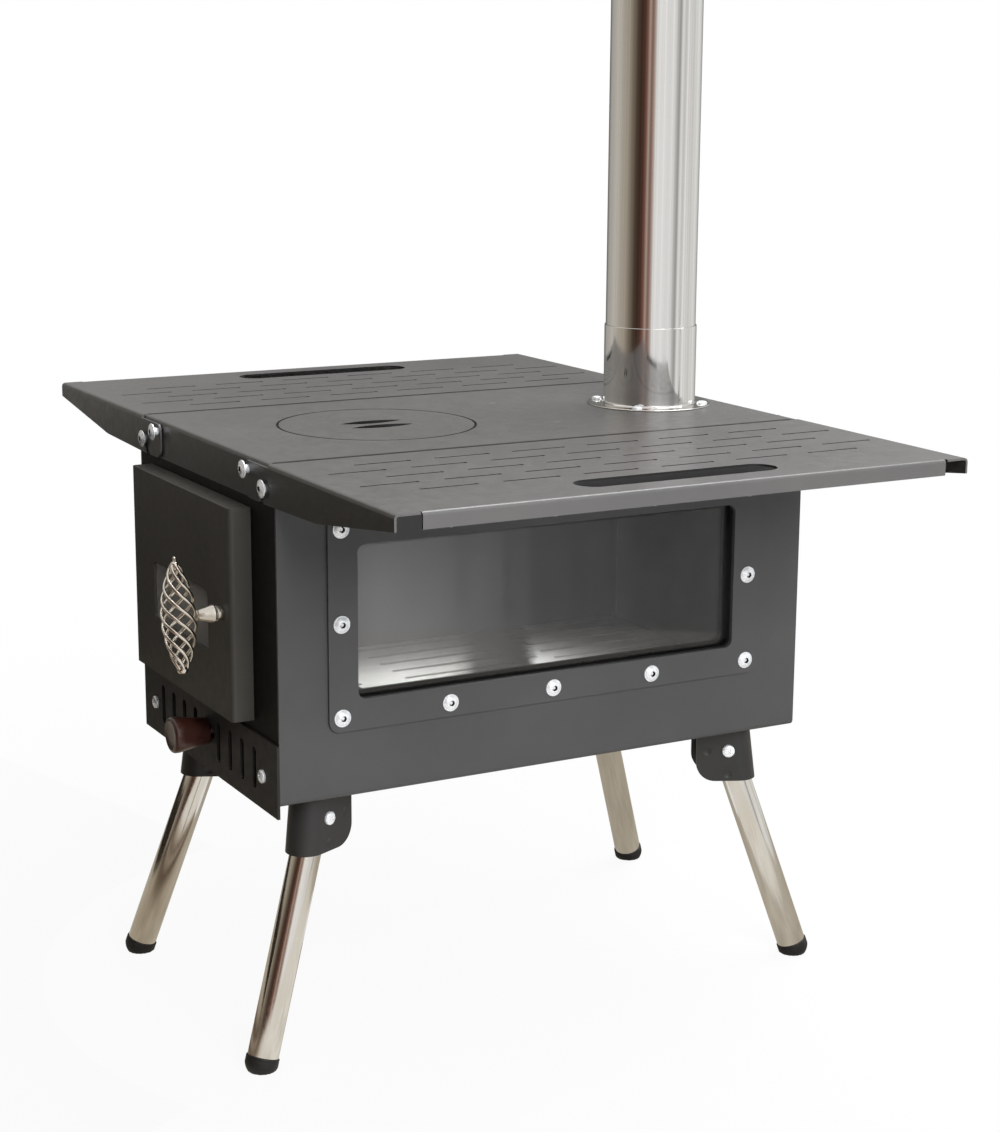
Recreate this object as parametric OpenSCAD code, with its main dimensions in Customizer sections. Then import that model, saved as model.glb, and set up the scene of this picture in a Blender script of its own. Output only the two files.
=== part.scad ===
// Folding steel tent stove with a long side window, two side shelves and four folding legs.
// Millimetres, +Z up. The fuel door looks along -Y, the flue stands at the +Y end.
// The origin is on the floor, in the middle of the four feet.

/* [Body] */
// Width of the body over its long sides
body_w = 258; // [240:1:280]
// Length of the body from the door end to the flue end
body_l = 426; // [400:1:460]
// Height from the underside of the body to the cooking surface
body_h = 236.5; // [230:0.5:260]
// Height of the underside of the body above the floor
stand_h = 191; // [180:1:220]
// Thickness of the body sheet
sheet_t = 2; // [1.5:0.1:2.5]
// Width of the flange folded in along the top of each long side
rim_w = 22; // [18:1:24]
// Outer radius of a fold in the body sheet
fold_r = 4; // [3:0.5:5]

/* [Top plate] */
// Distance from each side of the body to the edge of the top plate
top_in = 9.5; // [8:0.5:11]
// Outer radius of the fold at each end of the top plate
top_fold_r = 3; // [2.5:0.1:3.2]
// Depth of the flanges folded down at both ends of the top plate
top_flange = 28; // [26:1:32]
// Distance from the middle of the body to the middle of the lid, towards the door
lid_y = 76.6; // [70:0.1:80]
// Diameter of the cooking lid
lid_d = 145; // [130:1:150]
// Gap between the lid and its hole, all round
lid_gap = 0.8; // [0.5:0.1:1.2]
// Length of a finger opening in the lid
finger_l = 50; // [44:1:54]
// Greatest width of a finger opening
finger_w = 13; // [12:0.5:14]
// Distance between the middles of the two finger openings
finger_pitch = 20; // [19:0.5:24]

/* [Flue] */
// Outer diameter of the flue pipe
pipe_d = 70; // [60:1:76]
// Wall of the flue pipe
pipe_t = 0.6; // [0.5:0.1:1]
// Length of the flue pipe section
pipe_l = 322; // [200:1:400]
// Height of the collar above the cooking surface
collar_h = 62; // [40:1:80]
// Wall of the collar
collar_t = 0.8; // [0.6:0.1:1.2]
// Radial clearance between pipe and collar
collar_fit = 0.08; // [0.05:0.01:0.1]
// Diameter of the collar's flange
flange_d = 97; // [94:1:104]
// Distance of the flue's middle from the rear end of the body
flue_end = 52.5; // [51:0.5:60]

/* [Side window] */
// Length of the window opening
win_l = 309; // [280:1:312]
// Height of the window opening
win_h = 109; // [100:1:112]
// Height of the window's middle above the underside of the body
win_z = 124; // [120:1:126]
// Width of the outer frame plate past each end of the opening
frame_end = 22; // [21:0.5:25]
// Width of the outer frame plate above and below the opening
frame_side = 21.5; // [20.5:0.5:23]
// Distance from each end of the opening to the outer screws
win_screw_end = 12.3; // [11.5:0.1:13]
// Distance from the opening to each row of screws
win_screw_side = 11.5; // [10.5:0.1:12]
// Thickness of the window glass
glass_t = 4; // [3:0.5:5]
// Thickness of the gasket between wall and glass
gasket_t = 3; // [2:0.5:4]

/* [Fuel door] */
// Width of the front wall between the far side of the body and the door
hinge_strip = 25; // [24:0.5:30]
// Width of the front wall between the door and the near side of the body
latch_strip = 42; // [38:0.5:46]
// Height of the door
door_h = 150; // [145:1:152]
// How far the door stands out from the front of the body
door_d = 16.5; // [15:0.5:20]
// Height of the door's middle above the underside of the body
door_z = 126.5; // [122:0.5:130]
// Distance from each side of the door to its window
peep_in = 42; // [40:1:50]
// Height of the door's window
peep_h = 43; // [36:1:50]
// Height of the door window's middle above the underside of the body
peep_z = 115; // [112:1:120]
// Diameter of the wire cage of the handle
cage_d = 25.4; // [22:0.2:28]
// Height of the wire cage
cage_h = 77; // [70:1:84]
// Diameter of a wire of the cage
wire_d = 2.2; // [2:0.1:2.6]
// Number of wires in the cage
wire_n = 6; // [5:1:8]
// Turns of each wire round the cage, in degrees
wire_twist = 430; // [400:10:560]
// Lean of the handle from the upright, in degrees
handle_lean = 9; // [0:1:12]

/* [Air inlet] */
// Height of the vent panel
vent_h = 51.7; // [50:0.1:56]
// How far the vent panel hangs below the body
vent_drop = 8.2; // [6:0.1:10]
// Number of air slots, with the knob in the middle one's place
vent_n = 9; // [7:2:9]
// Distance from each side of the body to the middle of the nearest air slot
vent_in = 40.2; // [38:0.1:44]
// Width of an air slot
vent_slot_w = 7; // [5:0.5:8]
// Height of an air slot
vent_slot_h = 30; // [26:1:30]
// Length of the air knob
knob_l = 27.5; // [22:0.5:32]
// Diameter of the knob's face
knob_d = 26.4; // [22:0.2:28]

/* [Side shelves] */
// Reach of a shelf from the middle of the body to its outer edge
shelf_reach = 310.7; // [295:0.1:320]
// Thickness of the shelf sheet
shelf_t = 1.5; // [1.2:0.1:2]
// Height of the lip along the outer edge
lip_h = 10.8; // [9:0.1:13]
// How far the lip stops short of each end
lip_back = 19; // [16:1:24]
// Depth of the folded end where it meets the body
ear_h = 28; // [26:0.5:30]
// Distance of the shelf pivots from the side of the body
pivot_in = 41.9; // [40:0.1:44]
// Depth of the shelf pivots below the cooking surface
pivot_z = 8.2; // [7.5:0.1:9]
// Distance of the stop screws from the side of the body
stop_in = 14.3; // [13:0.1:16]
// Depth of the stop screws below the cooking surface
stop_z = 17.3; // [16:0.1:18]
// Length of the hand slot in a shelf
grip_l = 153; // [120:1:160]
// Width of the hand slot
grip_w = 26; // [22:1:30]
// Length of an air slit in a shelf
slit_l = 40.5; // [34:0.5:44]
// Width of an air slit
slit_w = 2; // [1.6:0.1:2.6]
// Distance between slits along a row
slit_pitch = 59.7; // [56:0.1:60]
// Distance between rows of slits
slit_row = 23.9; // [22:0.1:25]

/* [Legs] */
// Distance of the leg pivots from the side of the body
leg_in = 31.1; // [29:0.1:35]
// Distance of the leg pivots from the end of the body
leg_end = 38.4; // [35:0.1:43]
// Depth of the leg pivots below the body
leg_drop = 19.6; // [19:0.1:21]
// Outer diameter of a leg tube
leg_d = 22.2; // [20:0.2:23]
// Wall of a leg tube
leg_t = 1.2; // [1:0.1:1.5]
// Turn of each bracket from the length of the body towards its corner, in degrees
leg_yaw = 25.3; // [20:0.1:30]
// Splay of each leg from the upright, in degrees
leg_splay = 19.4; // [16:0.1:20]
// Thickness of the bracket sheet
bracket_t = 2; // [1.5:0.1:2.5]
// Clearance between the tube and each cheek of its bracket
bracket_gap = 1.2; // [1:0.1:1.5]

/* [Hidden] */
$fn = 48;

// Overrun of every cut past the face it starts from
over = 1;
// Clearance between flat parts that pass each other
slide_gap = 0.3;
// Radial clearance of a turning pin in its hole
pin_fit = 0.08;

// Faces and levels that the parts share
half_w = body_w / 2;
half_l = body_l / 2;
top_z = stand_h + body_h;
plate_z = top_z - sheet_t;
front_y = -half_l;
rear_y = half_l + sheet_t;
top_rear_y = rear_y + sheet_t;
top_w = body_w - 2 * top_in;
half_top = top_w / 2;
flue_y = half_l - flue_end;
pivot_x = half_w - pivot_in;
stop_x = half_w - stop_in;
leg_x = half_w - leg_in;
leg_y = half_l - leg_end;
door_w = body_w - hinge_strip - latch_strip;
door_x = (latch_strip - hinge_strip) / 2;
peep_w = door_w - 2 * peep_in;
vent_pitch = (body_w - 2 * vent_in) / (vent_n - 1);
inner_w = body_w - 2 * sheet_t;

// M6 flanged button screw of the windows and shelves
button_d = 13.6;
button_h = 3.3;
button_rim = 0.8;
button_key = 4;
screw_d = 6;
nut_af = 10;
nut_h = 4;
// M5 pan head screw of the legs and the vent panel
pan_d = 9.8;
pan_h = 3;
pan_shank = 5;
pan_nut_af = 8;
pan_nut_h = 4;
cross_w = 1.1;
cross_l = 5;
cross_depth = 1.4;

// A rectangle with rounded corners, centred, in the plane
module round_rect(w, h, r) {
  square([w - 2 * r, h], center = true);
  square([w, h - 2 * r], center = true);
  for (sx = [-1, 1], sy = [-1, 1])
    translate([sx * (w / 2 - r), sy * (h / 2 - r)]) circle(r);
}

// A stadium of length l and width w, lying along X
module stadium(l, w) {
  square([l - w, w], center = true);
  for (s = [-1, 1]) translate([s * (l - w) / 2, 0]) circle(w / 2);
}

// Turns a plane drawing, X and Y, into a sheet in the XZ plane that grows along +Y
module upright(t) {
  rotate([90, 0, 0]) translate([0, 0, -t]) linear_extrude(t) children();
}

// A domed head with a rim and a hex socket, its seat at the origin, looking along +Z
module button_head() {
  dome_h = button_h - button_rim;
  dome_r = (button_d * button_d / 4 + dome_h * dome_h) / (2 * dome_h);
  difference() {
    union() {
      cylinder(h = button_rim, d = button_d);
      translate([0, 0, button_rim]) intersection() {
        translate([0, 0, dome_h - dome_r]) sphere(dome_r);
        cylinder(h = dome_h, d = button_d);
      }
    }
    translate([0, 0, button_rim]) cylinder(h = button_h, d = button_key / cos(30), $fn = 6);
  }
}

// A button screw: the head sits at the origin and the shank runs down from it
module button_screw(l) {
  button_head();
  translate([0, 0, -l]) cylinder(h = l, d = screw_d);
}

// A hex nut on a shank, its face at the origin, growing along -Z
module hex_nut(af, h, bore) {
  translate([0, 0, -h]) difference() {
    cylinder(h = h, d = af / cos(30), $fn = 6);
    translate([0, 0, -over]) cylinder(h = h + 2 * over, d = bore);
  }
}

// A pan head screw with a cross recess, seat at the origin
module pan_screw(l) {
  pan_r = (pan_d * pan_d / 4 + pan_h * pan_h) / (2 * pan_h);
  difference() {
    intersection() {
      translate([0, 0, pan_h - pan_r]) sphere(pan_r);
      cylinder(h = pan_h, d = pan_d);
    }
    for (a = [0, 90]) rotate(a)
      translate([-cross_l / 2, -cross_w / 2, pan_h - cross_depth])
        cube([cross_l, cross_w, pan_h]);
  }
  translate([0, 0, -l]) cylinder(h = l, d = pan_shank);
}

// Long sides and floor of the body, one folded sheet
module body_shell() {
  color("#4a4a4c") difference() {
    translate([0, -half_l, 0]) upright(body_l) difference() {
      translate([0, stand_h + (body_h - sheet_t) / 2])
        round_rect(body_w, body_h - sheet_t, fold_r);
      translate([0, stand_h + (body_h - sheet_t) / 2])
        round_rect(inner_w, body_h - 3 * sheet_t, fold_r - sheet_t);
      translate([-half_w + rim_w, plate_z - 2 * sheet_t])
        square([body_w - 2 * rim_w, 3 * sheet_t]);
    }
    // Room for the end flange of the top plate
    translate([-half_top - slide_gap, -half_l - over, top_z - top_flange])
      cube([top_w + 2 * slide_gap, top_fold_r + over, top_flange]);
    translate([half_w - 2 * sheet_t, 0, stand_h + win_z]) rotate([90, 0, 90])
      linear_extrude(3 * sheet_t) round_rect(win_l, win_h, win_r);
    window_places() cylinder(h = 4 * sheet_t, d = screw_d, center = true);
  }
}

win_r = 6;
frame_r = 8;

// Places the children at each window screw, looking out of the wall
module window_places() {
  for (p = window_points)
    translate([half_w, p[0], stand_h + win_z + p[1]]) rotate([0, 90, 0]) children();
}
win_columns = 5;
win_last = (win_columns - 1) / 2;
win_screw_pitch = (win_l / 2 + win_screw_end) / win_last;
win_half_row = win_h / 2 + win_screw_side;
window_points = concat(
  [for (i = [-win_last:win_last], r = [-1, 1]) [i * win_screw_pitch, r * win_half_row]],
  [for (i = [-win_last, win_last]) [i * win_screw_pitch, 0]]
);

// A ring in the plane of the side wall, its outer face at distance x from the middle
module side_ring(x, t, l, h, r, hole_l, hole_h, hole_r) {
  translate([x - t, 0, stand_h + win_z]) rotate([90, 0, 90]) linear_extrude(t) difference() {
    round_rect(l, h, r);
    round_rect(hole_l, hole_h, hole_r);
  }
}

frame_l = win_l + 2 * frame_end;
frame_h = win_h + 2 * frame_side;
seal_w = 6;
clamp_lap = 4;
glass_l = win_l + 2 * seal_w;
glass_h = win_h + 2 * seal_w;
gasket_x = half_w - sheet_t;
glass_x = gasket_x - gasket_t;
clamp_x = glass_x - glass_t;
clamp_in_x = clamp_x - sheet_t;

module window_frame() {
  color("#4d4d4f") difference() {
    side_ring(half_w + sheet_t, sheet_t, frame_l, frame_h, frame_r, win_l, win_h, win_r);
    window_places() cylinder(h = 4 * sheet_t, d = screw_d, center = true);
  }
}
module window_gasket() {
  color("#1c1c1c")
    side_ring(gasket_x, gasket_t, glass_l, glass_h, win_r, win_l, win_h, win_r);
}
module window_glass() {
  color([0.2, 0.2, 0.22, 0.5]) translate([clamp_x, 0, stand_h + win_z]) rotate([90, 0, 90])
    linear_extrude(glass_t) round_rect(glass_l, glass_h, win_r);
}
module window_retainer() {
  color("#3a3a3a") difference() {
    side_ring(clamp_x, sheet_t, frame_l, frame_h, frame_r,
      glass_l - 2 * seal_w - 2 * clamp_lap, glass_h - 2 * seal_w - 2 * clamp_lap, win_r);
    window_places() translate([0, 0, clamp_x - half_w - sheet_t / 2])
      cylinder(h = 4 * sheet_t, d = screw_d, center = true);
  }
}
module window_screws() {
  color("silver") window_places() translate([0, 0, sheet_t])
    button_screw(half_w + sheet_t - clamp_in_x + nut_h + sheet_t / 2);
}
module window_nuts() {
  color("silver") window_places() translate([0, 0, clamp_in_x - half_w])
    hex_nut(nut_af, nut_h, screw_d);
}

// Door opening in the front wall, and the strip of wall that the gasket seats on
seat_w = 8;
mouth_w = door_w - 2 * seat_w;
mouth_h = door_h - 4 * seat_w;
mouth_r = 6;

module front_panel() {
  color("#2b2926") translate([0, front_y, 0]) difference() {
    upright(sheet_t) difference() {
      translate([0, stand_h + (body_h - sheet_t) / 2])
        round_rect(inner_w, body_h - 3 * sheet_t, fold_r - sheet_t);
      translate([-half_top - slide_gap, top_z - top_flange])
        square([top_w + 2 * slide_gap, top_flange]);
      translate([-door_x, stand_h + door_z]) round_rect(mouth_w, mouth_h, mouth_r);
      vent_cuts(0);
    }
    vent_places() cylinder(h = 4 * sheet_t, d = pan_shank, center = true);
  }
}

// It ends below the inner round of the top plate's fold
module rear_panel() {
  color("#3a3a3b") difference() {
    translate([0, half_l, 0]) upright(sheet_t)
      translate([0, stand_h + (body_h - top_fold_r) / 2])
        round_rect(body_w, body_h - top_fold_r, fold_r);
    shelf_screw_places(pivot_x, pivot_z) cylinder(h = 3 * $stack, d = screw_d, center = true);
    shelf_screw_places(stop_x, stop_z) cylinder(h = 3 * $stack, d = screw_d, center = true);
  }
}

// End view of the top plate: a flat sheet with both ends folded down
module top_profile(y0, y1, t, drop, r) {
  mid = (y0 + y1) / 2;
  l = y1 - y0;
  intersection() {
    difference() {
      translate([mid, -drop]) round_rect(l, 2 * drop, r);
      translate([mid, -drop]) round_rect(l - 2 * t, 2 * drop - 2 * t, r - t);
    }
    translate([y0 - over, -drop]) square([l + 2 * over, drop + over]);
  }
}

dimple_in = 78;
dimple_x = half_w - dimple_in;
dimple_y = 49.5;
dimple_r = 4;
dimple_depth = 0.6;
module top_plate() {
  color("#77767a") difference() {
    translate([-half_top, 0, top_z]) rotate([90, 0, 90]) linear_extrude(top_w)
      top_profile(front_y, top_rear_y, sheet_t, top_flange, top_fold_r);
    translate([0, -lid_y, top_z - 2 * sheet_t])
      cylinder(h = 3 * sheet_t, d = lid_d + 2 * lid_gap, $fn = 96);
    translate([0, flue_y, top_z - 2 * sheet_t]) cylinder(h = 3 * sheet_t, d = flue_hole_d);
    flue_screw_places() cylinder(h = 4 * sheet_t, d = flue_screw_d, center = true);
    shelf_screw_places(pivot_x, pivot_z) cylinder(h = 4 * sheet_t, d = screw_d, center = true);
    shelf_screw_places(stop_x, stop_z) cylinder(h = 4 * sheet_t, d = screw_d, center = true);
    dimple_ball = (dimple_r * dimple_r + dimple_depth * dimple_depth) / (2 * dimple_depth);
    for (s = [-1, 1]) translate([s * dimple_x, dimple_y, top_z - dimple_depth + dimple_ball])
      sphere(dimple_ball);
  }
}

ring_w = 9;
ring_lap = 8;
module lid_ring() {
  color("#3a3a3b") translate([0, -lid_y, plate_z - sheet_t]) difference() {
    cylinder(h = sheet_t, d = lid_d + 2 * ring_w, $fn = 96);
    translate([0, 0, -over]) cylinder(h = sheet_t + 2 * over, d = lid_d - 2 * ring_lap, $fn = 96);
  }
}

module cooking_lid() {
  lens_r = (finger_l * finger_l / 4 + finger_w * finger_w / 4) / finger_w;
  color("#77767a") translate([0, -lid_y, plate_z]) difference() {
    cylinder(h = sheet_t, d = lid_d, $fn = 96);
    for (s = [-1, 1]) translate([s * finger_pitch / 2, 0, -over])
      linear_extrude(sheet_t + 2 * over) intersection_for(q = [-1, 1])
        translate([q * (lens_r - finger_w / 2), 0]) circle(lens_r, $fn = 96);
  }
}

// A plate under the flue that sends the smoke forward, hung from two studs and the rear wall
baffle_z = 50;
baffle_in = 31;
baffle_w = body_w - 2 * baffle_in;
baffle_front = 34;
baffle_stud_d = 8;
baffle_hook = 14;
module smoke_baffle() {
  level = top_z - baffle_z;
  color("#454547") {
    translate([-baffle_w / 2, baffle_front, level]) cube([baffle_w, half_l - baffle_front, sheet_t]);
    translate([-baffle_w / 2, half_l - sheet_t, level]) cube([baffle_w, sheet_t, baffle_hook]);
    for (s = [-1, 1]) translate([s * dimple_x, dimple_y, level])
      cylinder(h = baffle_z - sheet_t, d = baffle_stud_d);
  }
}

// Two channels side by side keep the fire above the air slots; each fits through the door
grate_in = 1;
grate_side = 17;
grate_end = 15;
grate_out = half_w - grate_side;
grate_l = body_l - 2 * grate_end;
grate_h = 34;
grate_slot_n = 5;
grate_slot_w = 5;
grate_slot_l = 96;
grate_slot_rows = 3;
module fire_grate() {
  base = stand_h + sheet_t;
  grate_w = grate_out - grate_in;
  step = grate_w / grate_slot_n;
  color("#8a8b8c") for (s = [0, 1]) mirror([s, 0, 0]) difference() {
    translate([grate_in, -grate_l / 2, base]) cube([grate_w, grate_l, grate_h]);
    translate([grate_in + sheet_t, -grate_l / 2 - over, base - over])
      cube([grate_w - 2 * sheet_t, grate_l + 2 * over, grate_h - sheet_t + over]);
    for (i = [0:grate_slot_n - 1], j = [0:grate_slot_rows - 1])
      translate([grate_in + (i + 1 / 2) * step,
        (j - (grate_slot_rows - 1) / 2) * grate_l / grate_slot_rows, base])
        rotate(90) linear_extrude(grate_h + over) stadium(grate_slot_l, grate_slot_w);
  }
}

// Fuel door
door_left = -door_x - door_w / 2;
door_right = -door_x + door_w / 2;
door_face_y = front_y - door_d;
door_back_gap = 0.5;
door_wall_l = door_d - door_back_gap;
door_r = 3.5;
stud_d = 4;
stud_l = 9;
peep_margin = 10;
latch_in = 15.7;
latch_x = door_right - latch_in;
latch_z = 126.5;
latch_d = 8;
clip_x = peep_w / 2 + peep_margin / 2 + stud_d / 2;
clip_z = peep_h / 2 + peep_margin / 2 + stud_d / 2;

// Plan of the door pan: front and both sides of one sheet, open to the rear
module door_plan(inset) {
  intersection() {
    translate([-door_x, door_d - inset])
      round_rect(door_w - 2 * inset, 2 * door_d - 4 * inset, door_r - inset);
    translate([door_left, inset]) square([door_w, door_wall_l - inset]);
  }
}
module door_shell() {
  color("#302d29") translate([0, door_face_y, stand_h]) difference() {
    union() {
      difference() {
        translate([0, 0, door_z - door_h / 2]) linear_extrude(door_h) door_plan(0);
        translate([0, 0, door_z - door_h / 2 + sheet_t]) linear_extrude(door_h - 2 * sheet_t)
          door_hollow();
      }
      for (sx = [-1, 1], sz = [-1, 1])
        translate([-door_x + sx * clip_x, sheet_t, peep_z + sz * clip_z]) rotate([-90, 0, 0])
          cylinder(h = stud_l, d = stud_d);
    }
    translate([-door_x, -over, peep_z]) upright(sheet_t + 2 * over)
      round_rect(peep_w, peep_h, door_r);
    translate([latch_x, -over, latch_z]) rotate([-90, 0, 0])
      cylinder(h = sheet_t + 2 * over, d = latch_d + 2 * pin_fit);
  }
}
module door_hollow() {
  difference() {
    translate([door_left + sheet_t, sheet_t]) square([door_w - 2 * sheet_t, door_d]);
    for (s = [-1, 1]) translate([-door_x + s * (door_w / 2 - sheet_t), sheet_t])
      difference() {
        square(2 * (door_r - sheet_t), center = true);
        translate([-s * (door_r - sheet_t), door_r - sheet_t]) circle(door_r - sheet_t);
      }
  }
}

liner_gap = 0.2;
liner_y = front_y - door_back_gap - 2 * sheet_t;
module door_liner() {
  color("#3a3834") translate([0, liner_y, stand_h]) difference() {
    upright(sheet_t) translate([-door_x, door_z]) difference() {
      square([door_w - 2 * sheet_t - 2 * liner_gap, door_h - 2 * sheet_t - 2 * liner_gap],
        center = true);
      translate([0, peep_z - door_z]) round_rect(peep_w, peep_h, door_r);
    }
    translate([latch_x, -over, latch_z]) rotate([-90, 0, 0])
      cylinder(h = sheet_t + 2 * over, d = latch_d + 2 * pin_fit);
  }
}
module door_glass() {
  color([0.35, 0.35, 0.36, 0.6]) translate([-door_x, door_face_y + sheet_t, stand_h + peep_z])
    upright(glass_t) square([peep_w + peep_margin, peep_h + peep_margin], center = true);
}
module door_glass_retainer() {
  color("#3a3834") translate([-door_x, door_face_y + sheet_t + glass_t, stand_h + peep_z])
    difference() {
      upright(sheet_t / 2) difference() {
        square([2 * clip_x + 3 * stud_d, 2 * clip_z + 3 * stud_d], center = true);
        square([peep_w, peep_h], center = true);
      }
      for (sx = [-1, 1], sz = [-1, 1]) translate([sx * clip_x, -over, sz * clip_z])
        rotate([-90, 0, 0]) cylinder(h = stud_l, d = stud_d);
    }
}
module door_glass_nuts() {
  color("silver") for (sx = [-1, 1], sz = [-1, 1])
    translate([-door_x + sx * clip_x, door_face_y + sheet_t + glass_t + sheet_t / 2,
      stand_h + peep_z + sz * clip_z]) rotate([90, 0, 0]) hex_nut(clip_nut_af, clip_nut_h, stud_d);
}
clip_nut_af = 7;
clip_nut_h = 2;

// Flat rope seal on the back of the liner, round the mouth of the firebox
rope_w = 5;
module door_gasket() {
  color("#b8b2a4") translate([-door_x, liner_y + sheet_t, stand_h + door_z])
    upright(door_back_gap + sheet_t - slide_gap) difference() {
      round_rect(mouth_w + 2 * rope_w + 2 * liner_gap, mouth_h + 2 * rope_w, mouth_r + rope_w);
      round_rect(mouth_w + 2 * liner_gap, mouth_h, mouth_r);
    }
}

// Hinge on the far side of the door, five knuckles on one pin
hinge_side = 4.5;
hinge_out = 5.5;
hinge_x = door_left - hinge_side;
hinge_y = front_y - hinge_out;
knuckle_d = 8;
hinge_pin_d = 4;
knuckle_l = 26;
knuckle_n = 5;
knuckle_gap = 0.4;
hinge_leaf_w = 17;
hinge_bottom = stand_h + door_z - knuckle_n * knuckle_l / 2;
module knuckle(i, bore) {
  translate([hinge_x, hinge_y, hinge_bottom + i * knuckle_l + knuckle_gap / 2]) difference() {
    cylinder(h = knuckle_l - knuckle_gap, d = knuckle_d);
    translate([0, 0, -over]) cylinder(h = knuckle_l + 2 * over, d = bore);
  }
}
module hinge_leaf_body() {
  color("#343230") difference() {
    union() {
      translate([hinge_x - hinge_leaf_w, front_y - sheet_t, hinge_bottom])
        cube([hinge_leaf_w, sheet_t, knuckle_n * knuckle_l]);
      for (i = [0:2:knuckle_n - 1]) knuckle(i, hinge_pin_d);
    }
    for (i = [1:2:knuckle_n - 1])
      translate([hinge_x - knuckle_d / 2 - slide_gap, front_y - sheet_t - over,
        hinge_bottom + i * knuckle_l - knuckle_gap / 2])
        cube([knuckle_d, sheet_t + 2 * over, knuckle_l + knuckle_gap]);
    translate([hinge_x, hinge_y, hinge_bottom - over])
      cylinder(h = knuckle_n * knuckle_l + 2 * over, d = hinge_pin_d);
  }
}
module hinge_leaf_door() {
  leaf_y = door_face_y + door_r;
  color("#343230") for (i = [1:2:knuckle_n - 1]) difference() {
    union() {
      translate([door_left - sheet_t, leaf_y, hinge_bottom + i * knuckle_l + knuckle_gap / 2])
        cube([sheet_t, front_y - sheet_t / 2 - door_back_gap - leaf_y, knuckle_l - knuckle_gap]);
      knuckle(i, hinge_pin_d);
    }
    translate([hinge_x, hinge_y, hinge_bottom])
      cylinder(h = knuckle_n * knuckle_l, d = hinge_pin_d + 2 * pin_fit);
  }
}
pin_head_d = 6.4;
pin_head_h = 1.6;
module hinge_pin() {
  pin_l = knuckle_n * knuckle_l;
  color("silver") translate([hinge_x, hinge_y, hinge_bottom]) {
    cylinder(h = pin_l, d = hinge_pin_d);
    translate([0, 0, pin_l]) cylinder(h = pin_head_h, d = pin_head_d);
  }
}

// Handle and latch turn together about the latch axis
boss_neck_l = 5;
boss_neck_d = 10.4;
boss_groove = 0.8;
boss_l = 14;
boss_d = 13.4;
boss_tip_d = 6;
cage_y = door_face_y - slide_gap - boss_neck_l - boss_l - cage_d / 2 + wire_d / 4;
module latch_frame() {
  translate([latch_x, 0, stand_h + latch_z]) rotate([0, -handle_lean, 0]) children();
}
ferrule_d = 7;
ferrule_h = 5;
wire_rings = 26;
wire_sides = 6;
step_share = 0.01;
cage_end_r = 2.3;
// Middle of a wire at height share t of the cage, turned by a from the first wire
function wire_at(t, a) =
  let (r = cage_end_r + (cage_d / 2 - wire_d / 2 - cage_end_r) * pow(sin(180 * t), 0.8),
       b = a + wire_twist * (t - 1 / 2))
  [r * cos(b), r * sin(b), (t - 1 / 2) * (cage_h - ferrule_h)];
function unit(v) = v / norm(v);
function wire_ring(t, a) =
  let (p = wire_at(t, a),
       d = unit(wire_at(min(1, t + step_share), a) - wire_at(max(0, t - step_share), a)),
       u = unit(cross(d, [p[0], p[1], 0])), v = cross(d, u))
  [for (k = [0:wire_sides - 1])
    p + wire_d / 2 * (cos(360 * k / wire_sides) * u + sin(360 * k / wire_sides) * v)];
module cage_wire(a) {
  rings = [for (i = [0:wire_rings]) wire_ring(i / wire_rings, a)];
  points = [for (ring = rings) for (p = ring) p];
  last = wire_rings * wire_sides;
  sides = [for (i = [0:wire_rings - 1], k = [0:wire_sides - 1])
    let (p = i * wire_sides, q = (k + 1) % wire_sides)
    each [[p + k, p + wire_sides + q, p + q], [p + k, p + wire_sides + k, p + wire_sides + q]]];
  caps = [[for (k = [0:wire_sides - 1]) k], [for (k = [0:wire_sides - 1]) last + wire_sides - 1 - k]];
  polyhedron(points = points, faces = concat(sides, caps));
}
module handle_cage() {
  color("silver") latch_frame() translate([0, cage_y, 0]) {
    for (i = [0:wire_n - 1]) cage_wire(90 + 360 * i / wire_n);
    for (s = [-1, 1]) translate([0, 0, s * (cage_h - ferrule_h) / 2])
      cylinder(h = ferrule_h, d = ferrule_d, center = true);
  }
}
module handle_boss() {
  color("silver") latch_frame()
    translate([0, door_face_y - slide_gap, 0]) rotate([90, 0, 0]) difference() {
      union() {
        cylinder(h = boss_neck_l - boss_groove, d = boss_neck_d);
        cylinder(h = boss_neck_l, d = boss_neck_d - 2 * boss_groove);
        translate([0, 0, boss_neck_l])
          cylinder(h = 2 * boss_groove, d1 = boss_neck_d, d2 = boss_d);
        translate([0, 0, boss_neck_l + 2 * boss_groove])
          cylinder(h = boss_l - 2 * boss_groove, d1 = boss_d, d2 = boss_tip_d);
      }
      translate([0, 0, -over]) cylinder(h = boss_neck_l + over, d = latch_d / 2);
    }
}
tongue_l = 24;
tongue_w = 12;
tongue_t = 3;
tongue_gap = 0.8;
tongue_y = front_y + sheet_t + tongue_gap;
module latch_shaft() {
  neck = boss_neck_l;
  color("silver") latch_frame() {
    translate([0, door_face_y - slide_gap - neck, 0]) rotate([-90, 0, 0])
      cylinder(h = neck + slide_gap, d = latch_d / 2);
    translate([0, door_face_y - slide_gap, 0]) rotate([-90, 0, 0])
      cylinder(h = tongue_y - door_face_y + slide_gap, d = latch_d);
    translate([0, tongue_y, 0]) rotate([-90, 0, 0])
      cylinder(h = tongue_t + pan_nut_h, d = pan_shank);
  }
}
module latch_tongue() {
  color("#6a6a6c") latch_frame() translate([0, tongue_y, 0]) difference() {
    upright(tongue_t) translate([0, tongue_l / 2 - tongue_w / 4])
      rotate(90) stadium(tongue_l + tongue_w / 2, tongue_w);
    translate([0, -over, 0]) rotate([-90, 0, 0])
      cylinder(h = tongue_t + 2 * over, d = pan_shank);
  }
}
module latch_nut() {
  color("silver") latch_frame() translate([0, tongue_y + tongue_t, 0]) rotate([90, 0, 0])
    hex_nut(pan_nut_af, pan_nut_h, pan_shank);
}

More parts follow.
